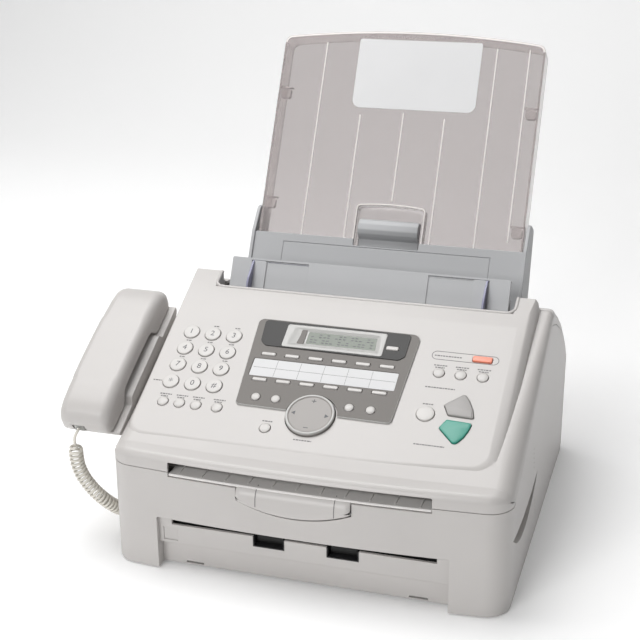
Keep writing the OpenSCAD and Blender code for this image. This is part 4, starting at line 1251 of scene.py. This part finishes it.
def tray_outline(inset=0.0, low=5.0):
    """Face of the tray: straight foot and sides, arched top with rounded corners."""
    half, r, arch = TRAY_HALF - inset, 14 - inset * 0.8, 9.0
    big = (TRAY_HALF ** 2 + arch ** 2) / (2 * arch)
    pts = [(-half, low), (half, low)]
    top = []
    for k in range(21):
        x = half - 2 * half * k / 20
        s = TRAY_LEN - inset - (big - sqrt(big ** 2 - x * x))
        top.append((x, s))
    outline = pts + top
    return rounded(outline, [1, 1, r] + [0] * 19 + [r], 7)


def tray_window(grow=0.0):
    """Arched opening over the tension plate."""
    half = 33.5 + grow
    top = [(half * (1 - k / 5), 65 + grow + 2.2 * (1 - (1 - k / 5) ** 2)) for k in range(11)]
    return rounded([(-half, -2), (half, -2)] + top, [0, 0, 6 + grow] + [0] * 9 + [6 + grow], 5)


def make_tray():
    outer = tray_outline()
    face = prism("tray_face", outer, -5.4, -3.4, tray)
    carve(face, tray_window(), -9, 0, tray)
    face = dress(face, "paper_tray", "smoke")
    face.name = "tray_moulding"
    label_as(face, "smoke", "paper_tray")
    rim = prism("tray_rim", outer, -27.4, -5.45, tray)
    carve(rim, tray_outline(2.0, -20), -40, 2, tray)
    carve(rim, rect(-140, -10, 140, 19), -40, 2, tray)
    label_as(dress(rim, "paper_tray", "smoke_rim"), "smoke")
    # pale line where the light leaves the edge of the face
    bead = []
    path = [q for q in tray_outline(0.1) if q[1] > 6]
    for i, q in enumerate(path):
        n = side_of(path, i)
        bead.append([tray(q[0] - n.x * t, q[1] - n.y * t, h) for t,
            h in ((-0.1, -6.4), (-0.1, -3.7), (0.3, -3.2), (1.7, -3.1), (2.1, -3.45))])
    label_as(loft("tray_bead", bead, "paper_tray", "rib", closed=False, caps=False), "smoke")
    # pocket behind the window
    pocket = prism("pocket", tray_window(1.4), -15.4, -5.45, tray)
    carve(pocket, tray_window(0.0), -14.2, 2, tray)
    carve(pocket, rect(-50, -10, 50, 22), -30, 2, tray)
    label_as(dress(pocket, "paper_tray", "smoke"), "smoke")
    # pale bead round the window: painted highlight where light leaves the window's edge
    trim = []
    path = tray_window(0.9)[1:] + [tray_window(0.9)[0]]
    for i, q in enumerate(path):
        n = side_of(path, i)
        q = (q[0], max(q[1], 20))
        trim.append([tray(q[0] + n.x * t, q[1] + n.y * t, h) for t,
            h in ((-0.8, -3.45), (-0.5, -3.0), (0.3, -3.0), (0.6, -3.45))])
    label_as(loft("window_bead", trim, "paper_tray", "rib", closed=False, caps=False), "smoke")
    ribs = []
    for x, low, high in ((-88, 26, 232), (-44, 26, 158), (0, 72, 162), (42, 26, 158), (86, 26, 232),
        (118, 40, 232)):
        ribs.append(prism("rib", rounded(rect(x - 0.5, low, x + 0.5, high), 0.3, 2), -3.5, -2.9, tray))
    label_as(joined("tray_ribs", ribs, "paper_tray", "rib"), "smoke")
    label_as(prism("tray_label", rounded(rect(-54, 165.5, 71, 237), [8, 8, 2, 2], 6), -3.38, -3.2, tray,
        "paper_tray", "paper"), "key")
    lugs = []
    for x, s in ((-125.5, 177), (-125.5, 62), (125.5, 168), (125.5, 50)):
        lugs.append(prism("lug", rounded(rect(x - 5, s - 5, x + 5, s + 5), 2.4, 4), -10.5, -5.5, tray))
        lugs.append(prism("lug", rounded(rect(x - 7, s + 5.4, x + 7, s + 6.6), 0.5, 2), -9.5, -5.5, tray))
    label_as(joined("tray_lugs", lugs, "paper_tray", "smoke_rim"), "smoke")


def make_tension_plate():
    """Grey plate in the tray's window, with a rounded nose across its top."""
    along = lambda s_, n_, x_: tray(x_, s_, n_)
    nose = [(-6, -11.4), (-6, -9.6), (33, -9.6), (34.5, -5.0), (37, -1.5), (41, 0.6), (47, 0.2),
        (51, -2.6), (53, -7), (52.6, -11.4)]
    outline = turned_left(rounded(nose, [0.4, 0.4, 1, 2, 2, 3, 3, 3, 3, 0.5], 4))
    rings = []
    for x, inset in ((-30.5, 1.6), (-30.1, 0.6), (-29, 0), (29, 0), (30.1, 0.6), (30.5, 1.6)):
        rings.append([tray(x, p[0], p[1]) for p in grown(outline, -inset)])
    label_as(loft("tension_moulding", rings, "tension_plate", "grey"), "grey", "tension_plate")
    pin = []
    for x, r in ((-40, 1.9), (-39.4, 2.6), (39.4, 2.6), (40, 1.9)):
        pin.append([tray(x, *p) for p in circle(-10, -12, r, 24)])
    label_as(loft("tension_pin", pin, "tension_plate", "grey"), "grey")


make_table()
make_guides()
make_tray_base()
make_tray()
make_tension_plate()


# ---------- plugs ----------

def make_plugs():
    for name, node, body, corner, size, turn in (
            ("handset_plug_body", "handset_plug", "handset", (-215.4, -1.6, -5.8), (9.8, 11.4, 7.6), panel),
            ("jack_plug_body", "jack_plug", "root", (-185, 196.6, 24.8), (17.6, 6.8, 6.4), from_above)):
        x, y, z = corner
        plug = label_as(prism(name, rounded(rect(x, y, x + size[0], y + size[1]), 0.6, 3), z, z + size[2],
            turn, body, "plug", 0.4), "plug", node)
        if body == "handset":
            label_as(prism(name + "_latch", rounded(rect(x + 2.4, y + 0.2, x + size[0] - 2.4, y + 7), 0.8,
                3), z + size[2], z + size[2] + 0.9, turn, body, "plug", 0.3), "plug")


make_plugs()


# ---------- CAD nodes that stay ----------

SLOTS = {s["node"]: s["material_slot"] for s in frame["record"]["subparts"]}
for node, piece in frame["nodes"].items():
    piece.data.materials.clear()
    piece.data.materials.append(M[SLOTS[node]])


# ---------- floor and light ----------

WORLD, GLOW = 0.06, 0.12
TOP, SIDE, FILL = 13, 32, 27


def make_stage():
    data = bpy.data.meshes.new("floor")
    size, up, n = 4.0, 2.2, 12
    rows = [(-size, 0.0), (1.2, 0.0)] + [(1.2 + 0.9 * sin(pi / 2 * k / n), 0.9 - 0.9 * cos(pi / 2 * k / n))
        for k in range(1, n + 1)] + [(2.1, up)]
    verts = [(x, y, z) for y, z in rows for x in (-size, size)]
    faces = [(2 * i, 2 * i + 1, 2 * i + 3, 2 * i + 2) for i in range(len(rows) - 1)]
    data.from_pydata(verts, [], faces)
    data.shade_smooth()
    floor = bpy.data.objects.new("floor", data)
    bpy.context.scene.collection.objects.link(floor)
    material, nodes, links, shader = node_set("floor_paint")
    noise = nodes.new("ShaderNodeTexNoise")
    noise.inputs["Scale"].default_value = 3
    ramp = nodes.new("ShaderNodeValToRGB")
    ramp.color_ramp.elements[0].color = (0.93, 0.93, 0.93, 1)
    ramp.color_ramp.elements[1].color = (0.95, 0.95, 0.95, 1)
    links.new(noise.outputs["Fac"], ramp.inputs["Fac"])
    links.new(ramp.outputs["Color"], shader.inputs["Base Color"])
    shader.inputs["Roughness"].default_value = 0.9
    shader.inputs["Specular IOR Level"].default_value = 0.1
    shader.inputs["Emission Color"].default_value = (1, 1, 1, 1)
    shader.inputs["Emission Strength"].default_value = GLOW
    data.materials.append(material)

    world = bpy.data.worlds.new("studio")
    world.use_nodes = True
    world.node_tree.nodes["Background"].inputs["Color"].default_value = (1, 1, 1, 1)
    world.node_tree.nodes["Background"].inputs["Strength"].default_value = WORLD
    bpy.context.scene.world = world

    def light(name, where, target, size, power, tint=(1, 1, 1)):
        lamp = bpy.data.lights.new(name, "AREA")
        lamp.shape = "RECTANGLE"
        lamp.size, lamp.size_y = size
        lamp.energy = power
        lamp.color = tint
        lamp_object = bpy.data.objects.new(name, lamp)
        bpy.context.scene.collection.objects.link(lamp_object)
        lamp_object.location = where
        lamp_object.rotation_euler = (Vector(target) - Vector(where)).to_track_quat("-Z", "Y").to_euler()

    light("top_light", (0.1, 0.2, 2.2), (0, 0, 0.1), (1.6, 1.6), TOP)
    light("side_light", (-0.7, 0.1, 2.1), (0, 0, 0.1), (1.6, 1.6), SIDE)
    light("fill_light", (-0.6, -2.3, 1.2), (0, 0, 0.15), (1.2, 0.9), FILL)
    bpy.context.scene.view_settings.view_transform = "Standard"


make_stage()

bpy.context.view_layer.update()
